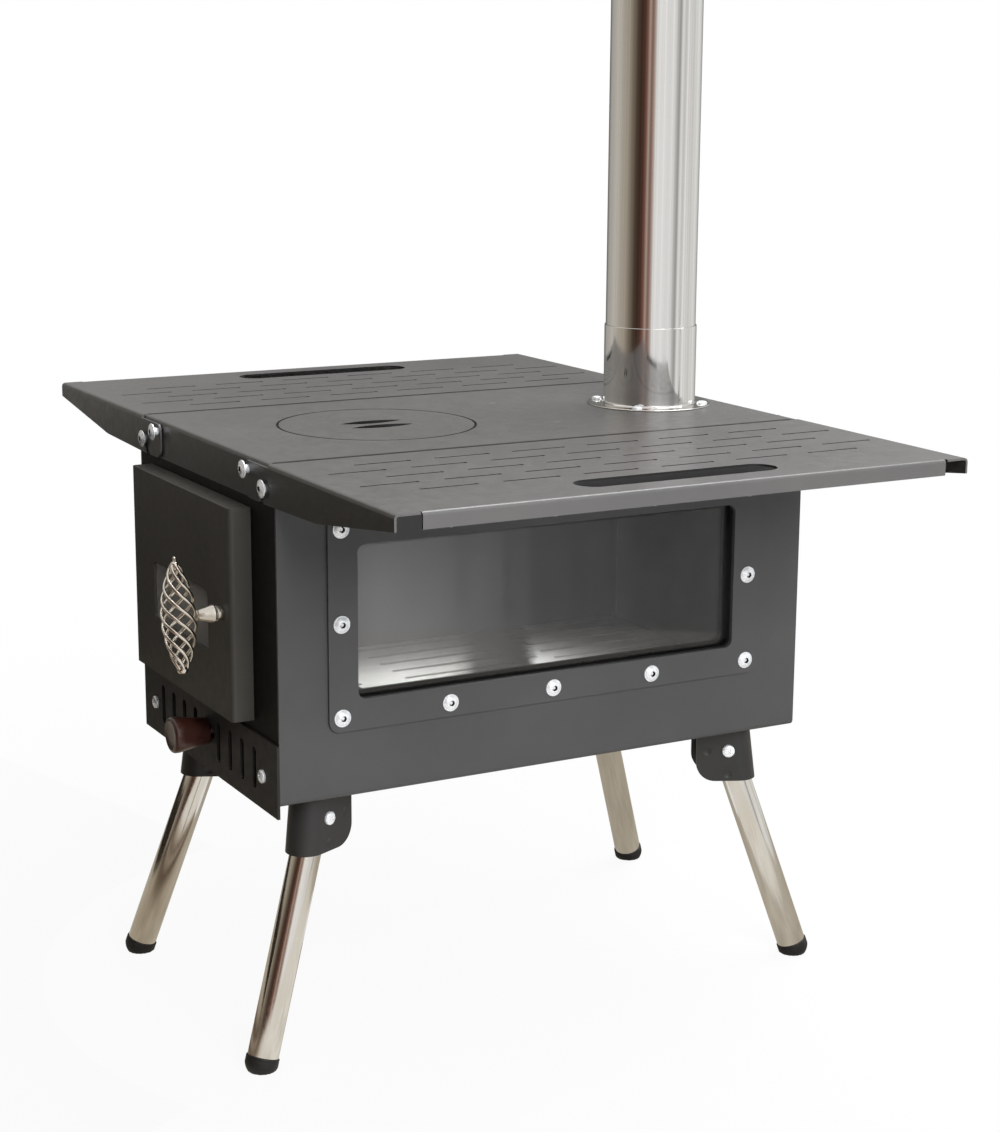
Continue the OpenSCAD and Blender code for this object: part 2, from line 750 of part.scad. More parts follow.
// Air inlet
vent_mid = 18;
vent_mid_z = stand_h + vent_mid;
vent_screw_in = 25;
vent_screw_x = half_w - vent_screw_in;
vent_screw_z = 16;
knob_up = 21;
knob_z = stand_h + knob_up;
stem_d = 6;
air_travel = vent_pitch / 2;
// The air slots, drawn in X and Z, moved along X by dx; the knob's slot lies across the middle
module vent_slots(dx) {
  mid = (vent_n - 1) / 2;
  for (i = [0:vent_n - 1]) if (i != mid)
    translate([(i - mid) * vent_pitch + dx, vent_mid_z])
      rotate(90) stadium(vent_slot_h, vent_slot_w);
}
module vent_cuts(dx) {
  vent_slots(dx);
  translate([air_travel / 2, knob_z])
    stadium(air_travel + stem_d + 2 * slide_gap, stem_d + 2 * slide_gap);
}
module vent_places() {
  for (s = [-1, 1]) translate([s * vent_screw_x, 0, stand_h + vent_screw_z])
    rotate([90, 0, 0]) children();
}
module vent_panel() {
  color("#2b2926") translate([0, front_y - sheet_t, 0]) difference() {
    upright(sheet_t) difference() {
      translate([-half_w, stand_h - vent_drop]) square([body_w, vent_h]);
      vent_cuts(0);
    }
    vent_places() cylinder(h = 4 * sheet_t, d = pan_shank, center = true);
  }
}
module vent_screws() {
  color("silver") translate([0, front_y - sheet_t, 0])
    vent_places() pan_screw(2 * sheet_t);
}
damper_t = 1.5;
damper_y = front_y + sheet_t + slide_gap;
damper_low = stand_h + sheet_t + slide_gap;
damper_high = vent_mid_z + vent_slot_h / 2 + 3 * sheet_t;
damper_w = (vent_n - 1) * vent_pitch + vent_slot_w + 4 * sheet_t;
module air_damper() {
  color("#3a3834") translate([0, damper_y, 0]) difference() {
    upright(damper_t) difference() {
      translate([-damper_w / 2, damper_low]) square([damper_w, damper_high - damper_low]);
      vent_slots(0);
    }
    translate([0, -over, knob_z]) rotate([-90, 0, 0])
      cylinder(h = damper_t + 2 * over, d = stem_d);
  }
}
// The rails that the damper slides in: an angle above it and a strip on the floor behind it
rail_w = damper_w + 2 * air_travel;
rail_lap = 4;
module air_guides() {
  behind = damper_y + damper_t + slide_gap;
  rail_back = behind + damper_t;
  color("#3a3834") {
    translate([-rail_w / 2, front_y + sheet_t, damper_high + slide_gap])
      cube([rail_w, rail_back - front_y - sheet_t, damper_t]);
    translate([-rail_w / 2, behind, damper_high - rail_lap + slide_gap])
      cube([rail_w, damper_t, rail_lap + damper_t]);
    translate([-rail_w / 2, behind, stand_h + sheet_t]) cube([rail_w, damper_t, rail_lap]);
  }
}
knob_back_d = 20;
knob_gap = 0.6;
knob_edge = 3;
knob_face_sink = 1.2;
module air_knob() {
  flare_l = knob_l - 2 * knob_edge;
  color("#4a2620") translate([0, front_y - sheet_t - knob_gap, knob_z]) rotate([90, 0, 0])
    rotate_extrude($fn = 64) difference() {
      union() {
        polygon([[0, 0], [knob_back_d / 2, 0], [knob_d / 2, flare_l],
          [knob_d / 2, knob_l - knob_edge], [knob_d / 2 - knob_edge, knob_l], [0, knob_l]]);
        intersection() {
          translate([knob_d / 2 - knob_edge, knob_l - knob_edge]) circle(knob_edge);
          square([knob_d, knob_l]);
        }
      }
      square([stem_d / 2, knob_l / 2]);
    }
}
module air_stem() {
  from = front_y - sheet_t - knob_gap - knob_l / 2;
  color("silver") translate([0, from, knob_z]) rotate([-90, 0, 0])
    cylinder(h = damper_y + damper_t - from, d = stem_d);
}

// Side shelves
shelf_gap = 1;
ear_gap = 0.4;
shelf_front = front_y - ear_gap - shelf_t;
shelf_rear = top_rear_y + ear_gap + shelf_t;
shelf_in = half_top + shelf_gap;
shelf_r = 3;
ear_in = pivot_x - 6;
ear_top = 2.5;
ear_knee = 78.5;
ear_knee_x = shelf_in + ear_knee;
ear_knee_h = ear_h - 2;
ear_r = 9;
ear_corner = 5;
stop_r = norm([stop_x - pivot_x, stop_z - pivot_z]);
stop_a = atan2(pivot_z - stop_z, stop_x - pivot_x);

// Places the children at the four shelf screws, looking out of the end flanges;
// $stack is the thickness of sheet that the screw passes through there
module shelf_screw_places(x, z) {
  for (s = [-1, 1]) {
    translate([s * x, front_y, top_z - z]) rotate([90, 0, 0])
      let ($stack = sheet_t) children();
    translate([s * x, top_rear_y, top_z - z]) rotate([-90, 0, 0])
      let ($stack = 2 * sheet_t) children();
  }
}

// Side view of a folded end, X and depth: it tapers to the lip and ends in a rounded nose
module ear_outline() {
  difference() {
    union() {
      polygon([[shelf_in, 0], [shelf_reach, 0], [shelf_reach, -lip_h], [ear_knee_x, -ear_knee_h],
        [shelf_in, -ear_h]]);
      intersection() {
        translate([(ear_in + ear_knee_x) / 2, -(ear_top + ear_h) / 2])
          round_rect(ear_knee_x - ear_in, ear_h - ear_top, ear_corner);
        translate([ear_in, -ear_h]) square([shelf_in - ear_in, ear_h]);
      }
    }
    // The lower corner of the nose has a larger round
    difference() {
      translate([ear_in - over, -ear_h - over]) square([ear_r + over, ear_r + over]);
      translate([ear_in + ear_r, -ear_h + ear_r]) circle(ear_r);
    }
    // Notch that drops over the stop screw, on an arc about the pivot
    translate([stop_x, -stop_z]) circle(screw_d / 2 + slide_gap);
    intersection() {
      translate([pivot_x, -pivot_z]) difference() {
        circle(stop_r + screw_d / 2 + slide_gap);
        circle(stop_r - screw_d / 2 - slide_gap);
      }
      translate([pivot_x, -pivot_z]) rotate(stop_a) translate([0, -2 * ear_h])
        square([2 * ear_h, 2 * ear_h]);
    }
  }
}

// Rows of slits in a brick pattern, drawn for the near shelf
slit_in = 28.9;
slit_x = shelf_in + slit_in;
slit_dot_d = 3.2;
slit_end_a = 47.8;
slit_end_b = 17.9;
slit_start_a = slit_end_a - half_l;
slit_start_b = slit_end_b - half_l;
module slit_pattern() {
  for (r = [0:4]) {
    odd = r % 2;
    for (i = [0:5 + odd])
      translate([slit_x + r * slit_row, (odd == 1 ? slit_start_b : slit_start_a) + i * slit_pitch]) {
        translate([0, slit_l / 2]) rotate(90) stadium(slit_l, slit_w);
        translate([0, slit_l]) circle(slit_dot_d / 2);
      }
  }
}

grip_in = 34.3;
grip_x = shelf_reach - grip_in;
grip_y = 6;
lip_r = 2.5;
relief = 1.5;
module shelf() {
  difference() {
    union() {
      // Plate and folded ends
      difference() {
        intersection() {
          translate([ear_in, 0, top_z]) rotate([90, 0, 90]) linear_extrude(shelf_reach - ear_in)
            top_profile(shelf_front, shelf_rear, shelf_t, ear_h, shelf_r);
          translate([0, shelf_front - over, top_z]) upright(shelf_rear - shelf_front + 2 * over)
            ear_outline();
        }
        translate([shelf_reach - lip_r, shelf_front + lip_back - relief, top_z - lip_h])
          cube([lip_r + over, shelf_rear - shelf_front - 2 * lip_back + 2 * relief, lip_h + over]);
      }
      // Lip along the outer edge
      translate([0, shelf_front + lip_back, top_z])
        upright(shelf_rear - shelf_front - 2 * lip_back) intersection() {
          difference() {
            translate([shelf_reach - lip_h, -lip_h]) round_rect(2 * lip_h, 2 * lip_h, lip_r);
            translate([shelf_reach - lip_h, -lip_h])
              round_rect(2 * (lip_h - shelf_t), 2 * (lip_h - shelf_t), lip_r - shelf_t);
          }
          translate([shelf_reach - lip_r, -lip_h]) square([lip_r + over, lip_h + over]);
        }
    }
    translate([0, 0, top_z - 2 * shelf_t]) linear_extrude(3 * shelf_t) slit_pattern();
    translate([grip_x, grip_y, top_z - 2 * shelf_t]) rotate(90) linear_extrude(3 * shelf_t)
      stadium(grip_l, grip_w);
    translate([pivot_x, shelf_front - over, top_z - pivot_z]) rotate([-90, 0, 0])
      cylinder(h = shelf_rear - shelf_front + 2 * over, d = screw_d + 2 * pin_fit);
  }
}
module shelf_near() { color("#6f6e71") shelf(); }
module shelf_far() { color("#6f6e71") mirror([1, 0, 0]) shelf(); }

// The pivot screws stand further off the ears than the stop screws
pivot_stand = 4;
stop_stand = 2;
module shelf_pivot_screws() {
  out = ear_gap + shelf_t + pivot_stand;
  color("silver") shelf_screw_places(pivot_x, pivot_z)
    translate([0, 0, out]) button_screw(out + $stack + nut_h);
}
module shelf_stop_screws() {
  out = ear_gap + shelf_t + stop_stand;
  color("silver") shelf_screw_places(stop_x, stop_z)
    translate([0, 0, out]) button_screw(out + $stack + nut_h);
}
module shelf_screw_nuts() {
  color("silver") {
    shelf_screw_places(pivot_x, pivot_z) shelf_nut();
    shelf_screw_places(stop_x, stop_z) shelf_nut();
  }
}
module shelf_nut() {
  translate([0, 0, -$stack]) hex_nut(nut_af, nut_h, screw_d);
}

// Flue
flue_hole_d = pipe_d - 4 * pipe_t;
flue_screw_d = 4;
flue_head_d = 8;
flue_head_h = 2.4;
flue_flange_t = 1;
collar_in_d = pipe_d + 2 * collar_fit;
flue_screw_r = (flange_d + collar_in_d) / 4 + collar_t / 2;
module flue_screw_places() {
  for (a = [45:90:315])
    translate([0, flue_y, top_z]) rotate(a) translate([flue_screw_r, 0, 0]) children();
}
module flue_collar() {
  color("#c9c6c0") difference() {
    translate([0, flue_y, top_z]) rotate_extrude($fn = 96) {
      translate([collar_in_d / 2, 0]) square([(flange_d - collar_in_d) / 2, flue_flange_t]);
      translate([collar_in_d / 2, 0]) square([collar_t, collar_h]);
    }
    flue_screw_places() cylinder(h = 4 * flue_flange_t, d = flue_screw_d, center = true);
  }
}
module flue_screws() {
  color("silver") flue_screw_places() {
    dome = (flue_head_d * flue_head_d / 4 + flue_head_h * flue_head_h) / (2 * flue_head_h);
    translate([0, 0, flue_flange_t]) intersection() {
      translate([0, 0, flue_head_h - dome]) sphere(dome);
      cylinder(h = flue_head_h, d = flue_head_d);
    }
    translate([0, 0, -2 * sheet_t]) cylinder(h = 2 * sheet_t + flue_flange_t, d = flue_screw_d);
  }
}
module flue_pipe() {
  color("#d0cdc6") translate([0, flue_y, top_z]) difference() {
    cylinder(h = pipe_l, d = pipe_d, $fn = 96);
    translate([0, 0, -over]) cylinder(h = pipe_l + 2 * over, d = pipe_d - 2 * pipe_t, $fn = 96);
  }
}

// Legs: each is drawn about its pivot with +Y pointing out to the corner
bracket_out = 20.1;
bracket_in = 24.6;
bracket_low = 24.3;
bracket_r = 15;
bracket_lean = 7.4;
bracket_half = leg_d / 2 + bracket_gap + bracket_t;
detent_d = 7;
detent_depth = 0.9;
detent_in = 16.6;
detent_low = 18.6;
detent_ball = (detent_d * detent_d / 4 + detent_depth * detent_depth) / (2 * detent_depth);
pivot_h = stand_h - leg_drop;
leg_reach = pivot_h / cos(leg_splay);
leg_head = 10;
cap_lap = 8;
cap_t = 1.3;
cap_base = 6;

// Places the children at the leg of quarter sx, sy
module at_leg(sx, sy) {
  mirror([sx < 0 ? 1 : 0, 0, 0]) mirror([0, sy < 0 ? 1 : 0, 0])
    translate([leg_x, leg_y, pivot_h]) rotate(-leg_yaw) children();
}
module bracket_plan(inset) {
  c = bracket_out - bracket_half;
  translate([0, c]) circle(bracket_half - inset);
  translate([-bracket_half + inset, -3 * bracket_in])
    square([2 * (bracket_half - inset), c + 3 * bracket_in]);
}
module bracket_side() {
  difference() {
    translate([-bracket_in, -bracket_low]) square([bracket_in + 2 * bracket_out, bracket_low + leg_drop]);
    difference() {
      translate([-bracket_in - over, -bracket_low - over]) square([bracket_r + over, bracket_r + over]);
      translate([-bracket_in + bracket_r, -bracket_low + bracket_r]) circle(bracket_r);
    }
  }
}
module leg_bracket() {
  difference() {
    intersection() {
      rotate([bracket_lean, 0, 0]) translate([0, 0, -3 * bracket_low])
        linear_extrude(6 * bracket_low) difference() {
          bracket_plan(0);
          bracket_plan(bracket_t);
        }
      translate([-bracket_half - over, 0, 0]) rotate([90, 0, 90])
        linear_extrude(2 * bracket_half + 2 * over) bracket_side();
    }
    rotate([0, 90, 0]) cylinder(h = 3 * bracket_half, d = pan_shank, center = true);
    for (s = [-1, 1]) {
      detents(s) sphere(detent_ball);
    }
  }
  // Each dimple is pressed through to a bump on the inner face
  for (s = [-1, 1]) intersection() {
    translate([-bracket_t, 0, 0]) detents(s) sphere(detent_ball);
    translate([s * (bracket_half - bracket_t) - (s > 0 ? detent_depth : 0), -bracket_in, -bracket_low])
      cube([detent_depth, bracket_in + bracket_out, 2 * bracket_low]);
  }
}
// Places a ball at both dimples of the cheek on side s
module detents(s) {
  for (p = [[-detent_in, 0], [0, -detent_low]])
    mirror([s < 0 ? 1 : 0, 0, 0])
      translate([bracket_half - detent_depth + detent_ball, p[0], p[1]]) children();
}
module leg_brackets() {
  color("#333130") for (sx = [-1, 1], sy = [-1, 1]) at_leg(sx, sy) leg_bracket();
}
module leg_tube(sx, sy) {
  color("#b8a88e") at_leg(sx, sy) difference() {
    rotate([leg_splay, 0, 0]) translate([0, 0, cap_base - leg_reach]) difference() {
      cylinder(h = leg_reach + leg_head - cap_base, d = leg_d);
      translate([0, 0, -over])
        cylinder(h = leg_reach + leg_head - cap_base + 2 * over, d = leg_d - 2 * leg_t);
    }
    rotate([0, 90, 0]) cylinder(h = 2 * leg_d, d = pan_shank + 2 * pin_fit, center = true);
  }
}
// The rubber cap has a domed end, worn flat where it stands on the floor
module foot_cap(sx, sy) {
  cap_r = leg_d / 2 + cap_t;
  dome_r = cap_r * 3 / 2;
  color("#141414") at_leg(sx, sy) difference() {
    intersection() {
      rotate([leg_splay, 0, 0]) translate([0, 0, -leg_reach]) difference() {
        intersection() {
          translate([0, 0, -cap_base]) cylinder(h = 2 * cap_base + cap_lap, r = cap_r);
          translate([0, 0, cap_base + cap_t]) sphere(dome_r);
        }
        translate([0, 0, cap_base]) cylinder(h = 2 * cap_lap, d = leg_d);
      }
      translate([-leg_reach, -leg_reach, -pivot_h]) cube(2 * leg_reach);
    }
  }
}
module leg_screws() {
  color("silver") for (sx = [-1, 1], sy = [-1, 1]) at_leg(sx, sy)
    translate([bracket_half, 0, 0]) rotate([0, 90, 0]) pan_screw(2 * bracket_half + pan_nut_h);
}
module leg_nuts() {
  color("silver") for (sx = [-1, 1], sy = [-1, 1]) at_leg(sx, sy)
    translate([-bracket_half, 0, 0]) rotate([0, 90, 0]) hex_nut(pan_nut_af, pan_nut_h, pan_shank);
}

body_shell();
front_panel();
rear_panel();
top_plate();
lid_ring();
cooking_lid();
smoke_baffle();
fire_grate();
window_frame();
window_gasket();
window_glass();
window_retainer();
window_screws();
window_nuts();
door_shell();
door_liner();
door_glass();
door_glass_retainer();
door_glass_nuts();
door_gasket();
hinge_leaf_body();
hinge_leaf_door();
hinge_pin();
handle_cage();
handle_boss();
latch_shaft();
latch_tongue();
latch_nut();
vent_panel();
vent_screws();
air_damper();
air_guides();
air_knob();
air_stem();
shelf_near();
shelf_far();
shelf_pivot_screws();
shelf_stop_screws();
shelf_screw_nuts();
flue_collar();
flue_screws();
flue_pipe();
leg_brackets();
leg_tube(1, -1);  // leg_tube_near_front
leg_tube(1, 1);  // leg_tube_near_rear
leg_tube(-1, -1);  // leg_tube_far_front
leg_tube(-1, 1);  // leg_tube_far_rear
foot_cap(1, -1);  // foot_cap_near_front
foot_cap(1, 1);  // foot_cap_near_rear
foot_cap(-1, -1);  // foot_cap_far_front
foot_cap(-1, 1);  // foot_cap_far_rear
leg_screws();
leg_nuts();
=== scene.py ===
"""Folding tent wood stove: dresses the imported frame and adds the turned, drawn and woven pieces.

Sizes are in millimetres in the fields and in metres in the meshes. The origin is on the floor,
in the middle of the four feet; the fuel door looks along -Y and the flue stands at the +Y end.
"""

import sys
import logging
import math
from dataclasses import dataclass, field
from enum import Enum
from itertools import product
from typing import Protocol

import bmesh
import bpy
import numpy as np
from mathutils import Matrix, Vector


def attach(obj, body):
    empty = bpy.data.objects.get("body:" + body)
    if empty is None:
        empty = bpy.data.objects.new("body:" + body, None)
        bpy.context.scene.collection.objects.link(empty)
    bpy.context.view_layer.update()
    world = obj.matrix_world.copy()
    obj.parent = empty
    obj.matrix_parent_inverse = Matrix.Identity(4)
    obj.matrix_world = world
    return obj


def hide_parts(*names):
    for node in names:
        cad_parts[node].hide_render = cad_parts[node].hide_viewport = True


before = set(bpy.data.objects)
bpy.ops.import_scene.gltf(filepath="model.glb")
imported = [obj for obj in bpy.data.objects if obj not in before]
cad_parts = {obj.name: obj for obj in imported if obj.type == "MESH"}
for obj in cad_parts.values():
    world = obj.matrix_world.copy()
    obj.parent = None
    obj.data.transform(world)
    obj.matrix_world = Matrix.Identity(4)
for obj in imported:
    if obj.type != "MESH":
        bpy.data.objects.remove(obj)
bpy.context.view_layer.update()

LOG = logging.getLogger("tent_stove")
MM = 0.001
IMAGE_W = 1000

# How strongly paint, lacquer and rubber bend light
LACQUER_IOR = 1.5

# Heights and faces that several sub-assemblies share, in millimetres
STAND_H = 191.0
BODY_H = 236.5
TOP_Z = STAND_H + BODY_H
FRONT_Y = -213.0
DOOR_FACE_Y = -229.5
HALF_W = 129.0

# The outline of the top within which its upright cut edges carry painted shade, and the seams
# between the top plate and the shelves and round the lid, which carry painted shade of the gaps
TOP_HALF_W, TOP_HALF_L = 306.0, 210.5
SEAM_X, SEAM_W = 118.6, 5.2
LID_Y, LID_EDGE_R, LID_SEAM_W = -76.6, 72.9, 2.2

# The settings of a node that grades a value from one range to another
RANGES = "From Min", "From Max", "To Min", "To Max"

Socket = bpy.types.NodeSocket
Triple = tuple[float, float, float]
Stops = tuple[tuple[float, str], ...]


def linear(code: str) -> tuple[float, float, float, float]:
    """Turns an sRGB hex colour into a linear RGBA colour by the sRGB curve.

    Args:
        code: six hex digits after a hash sign.

    Returns:
        Red, green and blue as linear light, and an alpha of one.
    """
    parts = np.array([int(code[i : i + 2], 16) for i in (1, 3, 5)]) / 255
    light = np.where(parts <= 0.04045, parts / 12.92, ((parts + 0.055) / 1.055) ** 2.4)
    return (*light.tolist(), 1.0)


def add_node(
    tree: bpy.types.NodeTree,
    kind: str,
    settings: dict | None = None,
    links: dict | None = None,
) -> bpy.types.Node:
    """Adds one node to a tree.

    Args:
        tree: the node tree.
        kind: the node's Blender type without its ShaderNode prefix.
        settings: values by input name or number, or by property name.
        links: output sockets by the input that they feed.

    Returns:
        The new node.
    """
    node = tree.nodes.new("ShaderNode" + kind)
    for key, value in (settings or {}).items():
        if isinstance(key, str) and hasattr(node, key) and key not in node.inputs:
            setattr(node, key, value)
    for key, value in (settings or {}).items():
        if isinstance(key, int) or key in node.inputs:
            node.inputs[key].default_value = value
    for key, socket in (links or {}).items():
        tree.links.new(socket, node.inputs[key])
    return node


def set_stops(ramp: bpy.types.ColorRamp, stops: Stops) -> None:
    """Gives a colour ramp its stops.

    Args:
        ramp: the ramp.
        stops: for each stop its place from 0 to 1 and its hex colour.
    """
    while len(ramp.elements) < len(stops):
        ramp.elements.new(0.5)
    for element, (place, code) in zip(ramp.elements, stops):
        element.position, element.color = place, linear(code)


@dataclass
class Surface:
    """A new material with its shader, ready for patterns in object coordinates."""

    name: str
    settings: dict
    shader: str = "BsdfPrincipled"

    def __post_init__(self) -> None:
        """Makes the material, its shader and its coordinates."""
        self.material = bpy.data.materials.new(self.name)
        self.material.use_nodes = True
        self.tree = self.material.node_tree
        self.tree.nodes.clear()
        self.out = add_node(self.tree, "OutputMaterial")
        self.bsdf = add_node(self.tree, self.shader, self.settings)
        self.tree.links.new(self.bsdf.outputs[0], self.out.inputs["Surface"])
        coordinates = add_node(self.tree, "TexCoord").outputs
        self.place, self.normal = coordinates["Object"], coordinates["Normal"]

    def split(self, vector: Socket) -> tuple[Socket, Socket, Socket]:
        """Gives a vector's X, Y and Z."""
        return tuple(add_node(self.tree, "SeparateXYZ", links={0: vector}).outputs)

    def speckle(self, cell_mm: float, stretch: Triple = (1, 1, 1), detail: float = 2) -> Socket:
        """Gives a noise pattern from 0 to 1.

        Args:
            cell_mm: width of a cell of the noise.
            stretch: how many times longer a cell is along X, Y and Z.
            detail: octaves of finer noise on top.

        Returns:
            The pattern's output socket.
        """
        scale = {"Scale": [1 / s for s in stretch]}
        drawn = add_node(self.tree, "Mapping", scale, {"Vector": self.place}).outputs[0]
        noise = {"Scale": 1 / (cell_mm * MM), "Detail": detail, "Roughness": 0.6}
        return add_node(self.tree, "TexNoise", noise, {"Vector": drawn}).outputs[0]

    def spread(self, pattern: Socket, low: float, high: float) -> Socket:
        """Spreads the middle of a noise pattern over low to high."""
        settings = dict(zip(RANGES, (0.3, 0.7, low, high)))
        return add_node(self.tree, "MapRange", settings, {"Value": pattern}).outputs[0]

    def blend(self, share: Socket, first: str | Socket, second: str | Socket) -> Socket:
        """Blends two colours.

        Args:
            share: how much of the second there is, from 0 to 1.
            first: a hex code or a socket.
            second: a hex code or a socket.

        Returns:
            The blend's output socket.
        """
        settings = {"data_type": "RGBA", "clamp_factor": True}
        node = add_node(self.tree, "Mix", settings, {0: share})
        for slot, value in ((6, first), (7, second)):
            if isinstance(value, str):
                node.inputs[slot].default_value = linear(value)
            else:
                self.tree.links.new(value, node.inputs[slot])
        return node.outputs[2]

    def near(self, value: Socket, middle: float, reach: float) -> Socket:
        """Gives one where a value lies within reach of the middle, else nought."""
        settings = {"operation": "COMPARE", 1: middle, 2: reach}
        return add_node(self.tree, "Math", settings, {0: value}).outputs[0]

    def both(self, first: Socket, second: Socket) -> Socket:
        """Gives the product of two values: of two masks, where both hold."""
        settings = {"operation": "MULTIPLY"}
        return add_node(self.tree, "Math", settings, {0: first, 1: second}).outputs[0]

    def either(self, first: Socket, second: Socket) -> Socket:
        """Gives the larger of two values: of two masks, where either holds."""
        settings = {"operation": "MAXIMUM"}
        return add_node(self.tree, "Math", settings, {0: first, 1: second}).outputs[0]

    def feed(self, **sockets: Socket) -> None:
        """Links outputs to shader inputs; an underscore stands for a space in their names."""
        for key, socket in sockets.items():
            self.tree.links.new(socket, self.bsdf.inputs[key.replace("_", " ")])

    def emboss(self, pattern: Socket, depth_mm: float) -> None:
        """Raises the surface by the pattern, depth_mm from its lowest to its highest."""
        settings = {"Strength": 1.0, "Distance": depth_mm * MM}
        bump = add_node(self.tree, "Bump", settings, {"Height": pattern})
        self.tree.links.new(bump.outputs[0], self.bsdf.inputs["Normal"])


class Finish(Protocol):
    """What every finish can do."""

    def material(self) -> bpy.types.Material:
        """Builds the finish as a new material."""


@dataclass(frozen=True)
class StovePaint:
    """Heat-proof silicone paint, sprayed and baked: satin charcoal with a faint orange peel.

    The cloudy tone is where the coat is thinner or was handled, and the peel breaks up the
    gloss. Where soot_in is set, the faces that look into the firebox are sooty. With the cut
    flag set, the upright faces inside the top's outline, its side seams and the ring round the
    lid take the near-black cut colour as painted shade of the gaps, and the faces that look
    towards the door end take the darker front colour as painted shade.
    """

    name: str
    colour: str
    thin: str
    roughness: float
    gloss: float
    soot_in: bool = False
    painted_shade_cuts: bool = False
    peel_mm: float = 0.012
    peel_cell_mm: float = 1.3
    cloud_mm: float = 95.0
    wear_mm: float = 8.0
    wear: tuple[float, float] = (-0.05, 0.06)
    soot: tuple[str, str] = ("#0d0c0c", "#131211")
    soot_mm: float = 60.0
    # Colours of painted shade: cut for the gaps and cut edges of the top, front for the faces that
    # look towards the door end
    cut: str = "#090909"
    front: str = "#2b2a29"
    front_shade_reach: float = 0.3
    skin_mm: float = 1.2
    turned: float = 0.35

    def cuts(self, s: Surface) -> Socket:
        """Gives one on upright faces inside the top's outline, on its side seams and round the
        lid, else nought."""
        # Painted shade: this mask marks where the shade of the gaps and cut edges is painted near
        # black
        x, y, _ = s.split(s.place)
        up = s.split(s.normal)[2]
        middle = {"operation": "SUBTRACT", 1: (0, LID_Y * MM, TOP_Z * MM)}
        lid = add_node(s.tree, "VectorMath", middle, {0: s.place}).outputs[0]
        from_lid = add_node(s.tree, "VectorMath", {"operation": "LENGTH"}, {0: lid})
        across = add_node(s.tree, "Math", {"operation": "ABSOLUTE"}, {0: x}).outputs[0]
        seams = s.either(
            s.near(across, SEAM_X * MM, SEAM_W / 2 * MM),
            s.near(from_lid.outputs["Value"], LID_EDGE_R * MM, LID_SEAM_W / 2 * MM),
        )
        inside = s.both(s.near(x, 0.0, TOP_HALF_W * MM), s.near(y, 0.0, TOP_HALF_L * MM))
        return s.both(inside, s.either(seams, s.near(up, 0.0, self.turned)))

    def fire_side(self, s: Surface) -> Socket:
        """Gives one inside the firebox, from its walls' inner faces inwards, else nought."""
        x, y, z = s.split(s.place)
        level = s.both(
            s.near(y, 0.0, (-FRONT_Y - self.skin_mm / 2) * MM),
            s.near(z, (STAND_H + BODY_H / 2) * MM, (BODY_H / 2 - self.skin_mm) * MM),
        )
        return s.both(s.near(x, 0.0, (HALF_W - self.skin_mm) * MM), level)

    def material(self) -> bpy.types.Material:
        """Builds the paint."""
        s = Surface(self.name, {"Specular IOR Level": self.gloss, "IOR": LACQUER_IOR})
        cloud = s.spread(s.speckle(self.cloud_mm, detail=3), 0, 1)
        colour = s.blend(cloud, self.colour, self.thin)
        # The real peel has cells of about half a millimetre; drawn coarser so that it shows
        peel = s.speckle(self.peel_cell_mm, detail=1)
        if self.soot_in:
            inside = self.fire_side(s)
            soot = s.blend(s.spread(s.speckle(self.soot_mm, detail=1), 0, 1), *self.soot)
            colour = s.blend(inside, colour, soot)
            outside = add_node(s.tree, "Math", {"operation": "SUBTRACT", 0: 1.0}, {1: inside})
            peel = s.both(peel, outside.outputs[0])
        if self.painted_shade_cuts:
            # Painted shade: faces that look towards the door end take the front colour, and the
            # cuts and seams take the near-black cut colour
            ahead = s.split(s.normal)[1]
            colour = s.blend(s.near(ahead, -1.0, self.front_shade_reach), colour, self.front)
            colour = s.blend(self.cuts(s), colour, self.cut)
        least, most = (self.roughness + v for v in self.wear)
        wear = s.speckle(self.wear_mm, detail=5)
        s.feed(Base_Color=colour, Roughness=s.spread(wear, least, most))
        s.emboss(peel, self.peel_mm)
        return s.material


class Lay(Enum):
    """The way that the polishing belt ran over a piece: how much longer its lines are than wide."""

    ROUND = (1.0, 1.0, 1.0)
    UPRIGHT = (1.0, 1.0, 40.0)


@dataclass(frozen=True)
class Steel:
    """Stainless steel 1.4301, belt polished: the belt's lines blur its reflections slightly."""

    name: str
    colour: str
    tint: str
    roughness: float
    lay: Lay
    line_mm: float = 0.9
    scratch_mm: float = 0.004
    metallic: float = 1.0
    tint_mm: float = 30.0
    wear: tuple[float, float] = (0.75, 1.35)

    def material(self) -> bpy.types.Material:
        """Builds the steel, its roughness times the wear's least and most along the lines."""
        s = Surface(self.name, {"Metallic": self.metallic})
        lines = s.speckle(self.line_mm, self.lay.value, 3)
        tinted = s.spread(s.speckle(self.tint_mm, self.lay.value), 0, 1)
        least, most = (self.roughness * v for v in self.wear)
        colour = s.blend(tinted, self.colour, self.tint)
        s.feed(Base_Color=colour, Roughness=s.spread(lines, least, most))
        s.emboss(lines, self.scratch_mm)
        return s.material


@dataclass(frozen=True)
class FireSteel:
    """Bare sheet steel inside the fire: bright where rubbed, blue-brown and sooty elsewhere."""

    name: str
    bright: str
    burnt: str
    roughness: float
    metallic: float = 0.75
    rub_mm: float = 26.0
    rub_stretch: Triple = (1.0, 2.5, 1.0)
    line_mm: float = 1.2
    line_stretch: Triple = (1.0, 60.0, 1.0)
    line_depth_mm: float = 0.02
    wear: tuple[float, float] = (-0.1, 0.15)

    def material(self) -> bpy.types.Material:
        """Builds the steel; its drawing lines run along Y."""
        s = Surface(self.name, {"Metallic": self.metallic})
        rub = s.spread(s.speckle(self.rub_mm, self.rub_stretch, 4), 0, 1)
        lines = s.speckle(self.line_mm, self.line_stretch, 3)
        least, most = (self.roughness + v for v in self.wear)
        colour = s.blend(rub, self.bright, self.burnt)
        s.feed(Base_Color=colour, Roughness=s.spread(lines, least, most))
        s.emboss(lines, self.line_depth_mm)
        return s.material


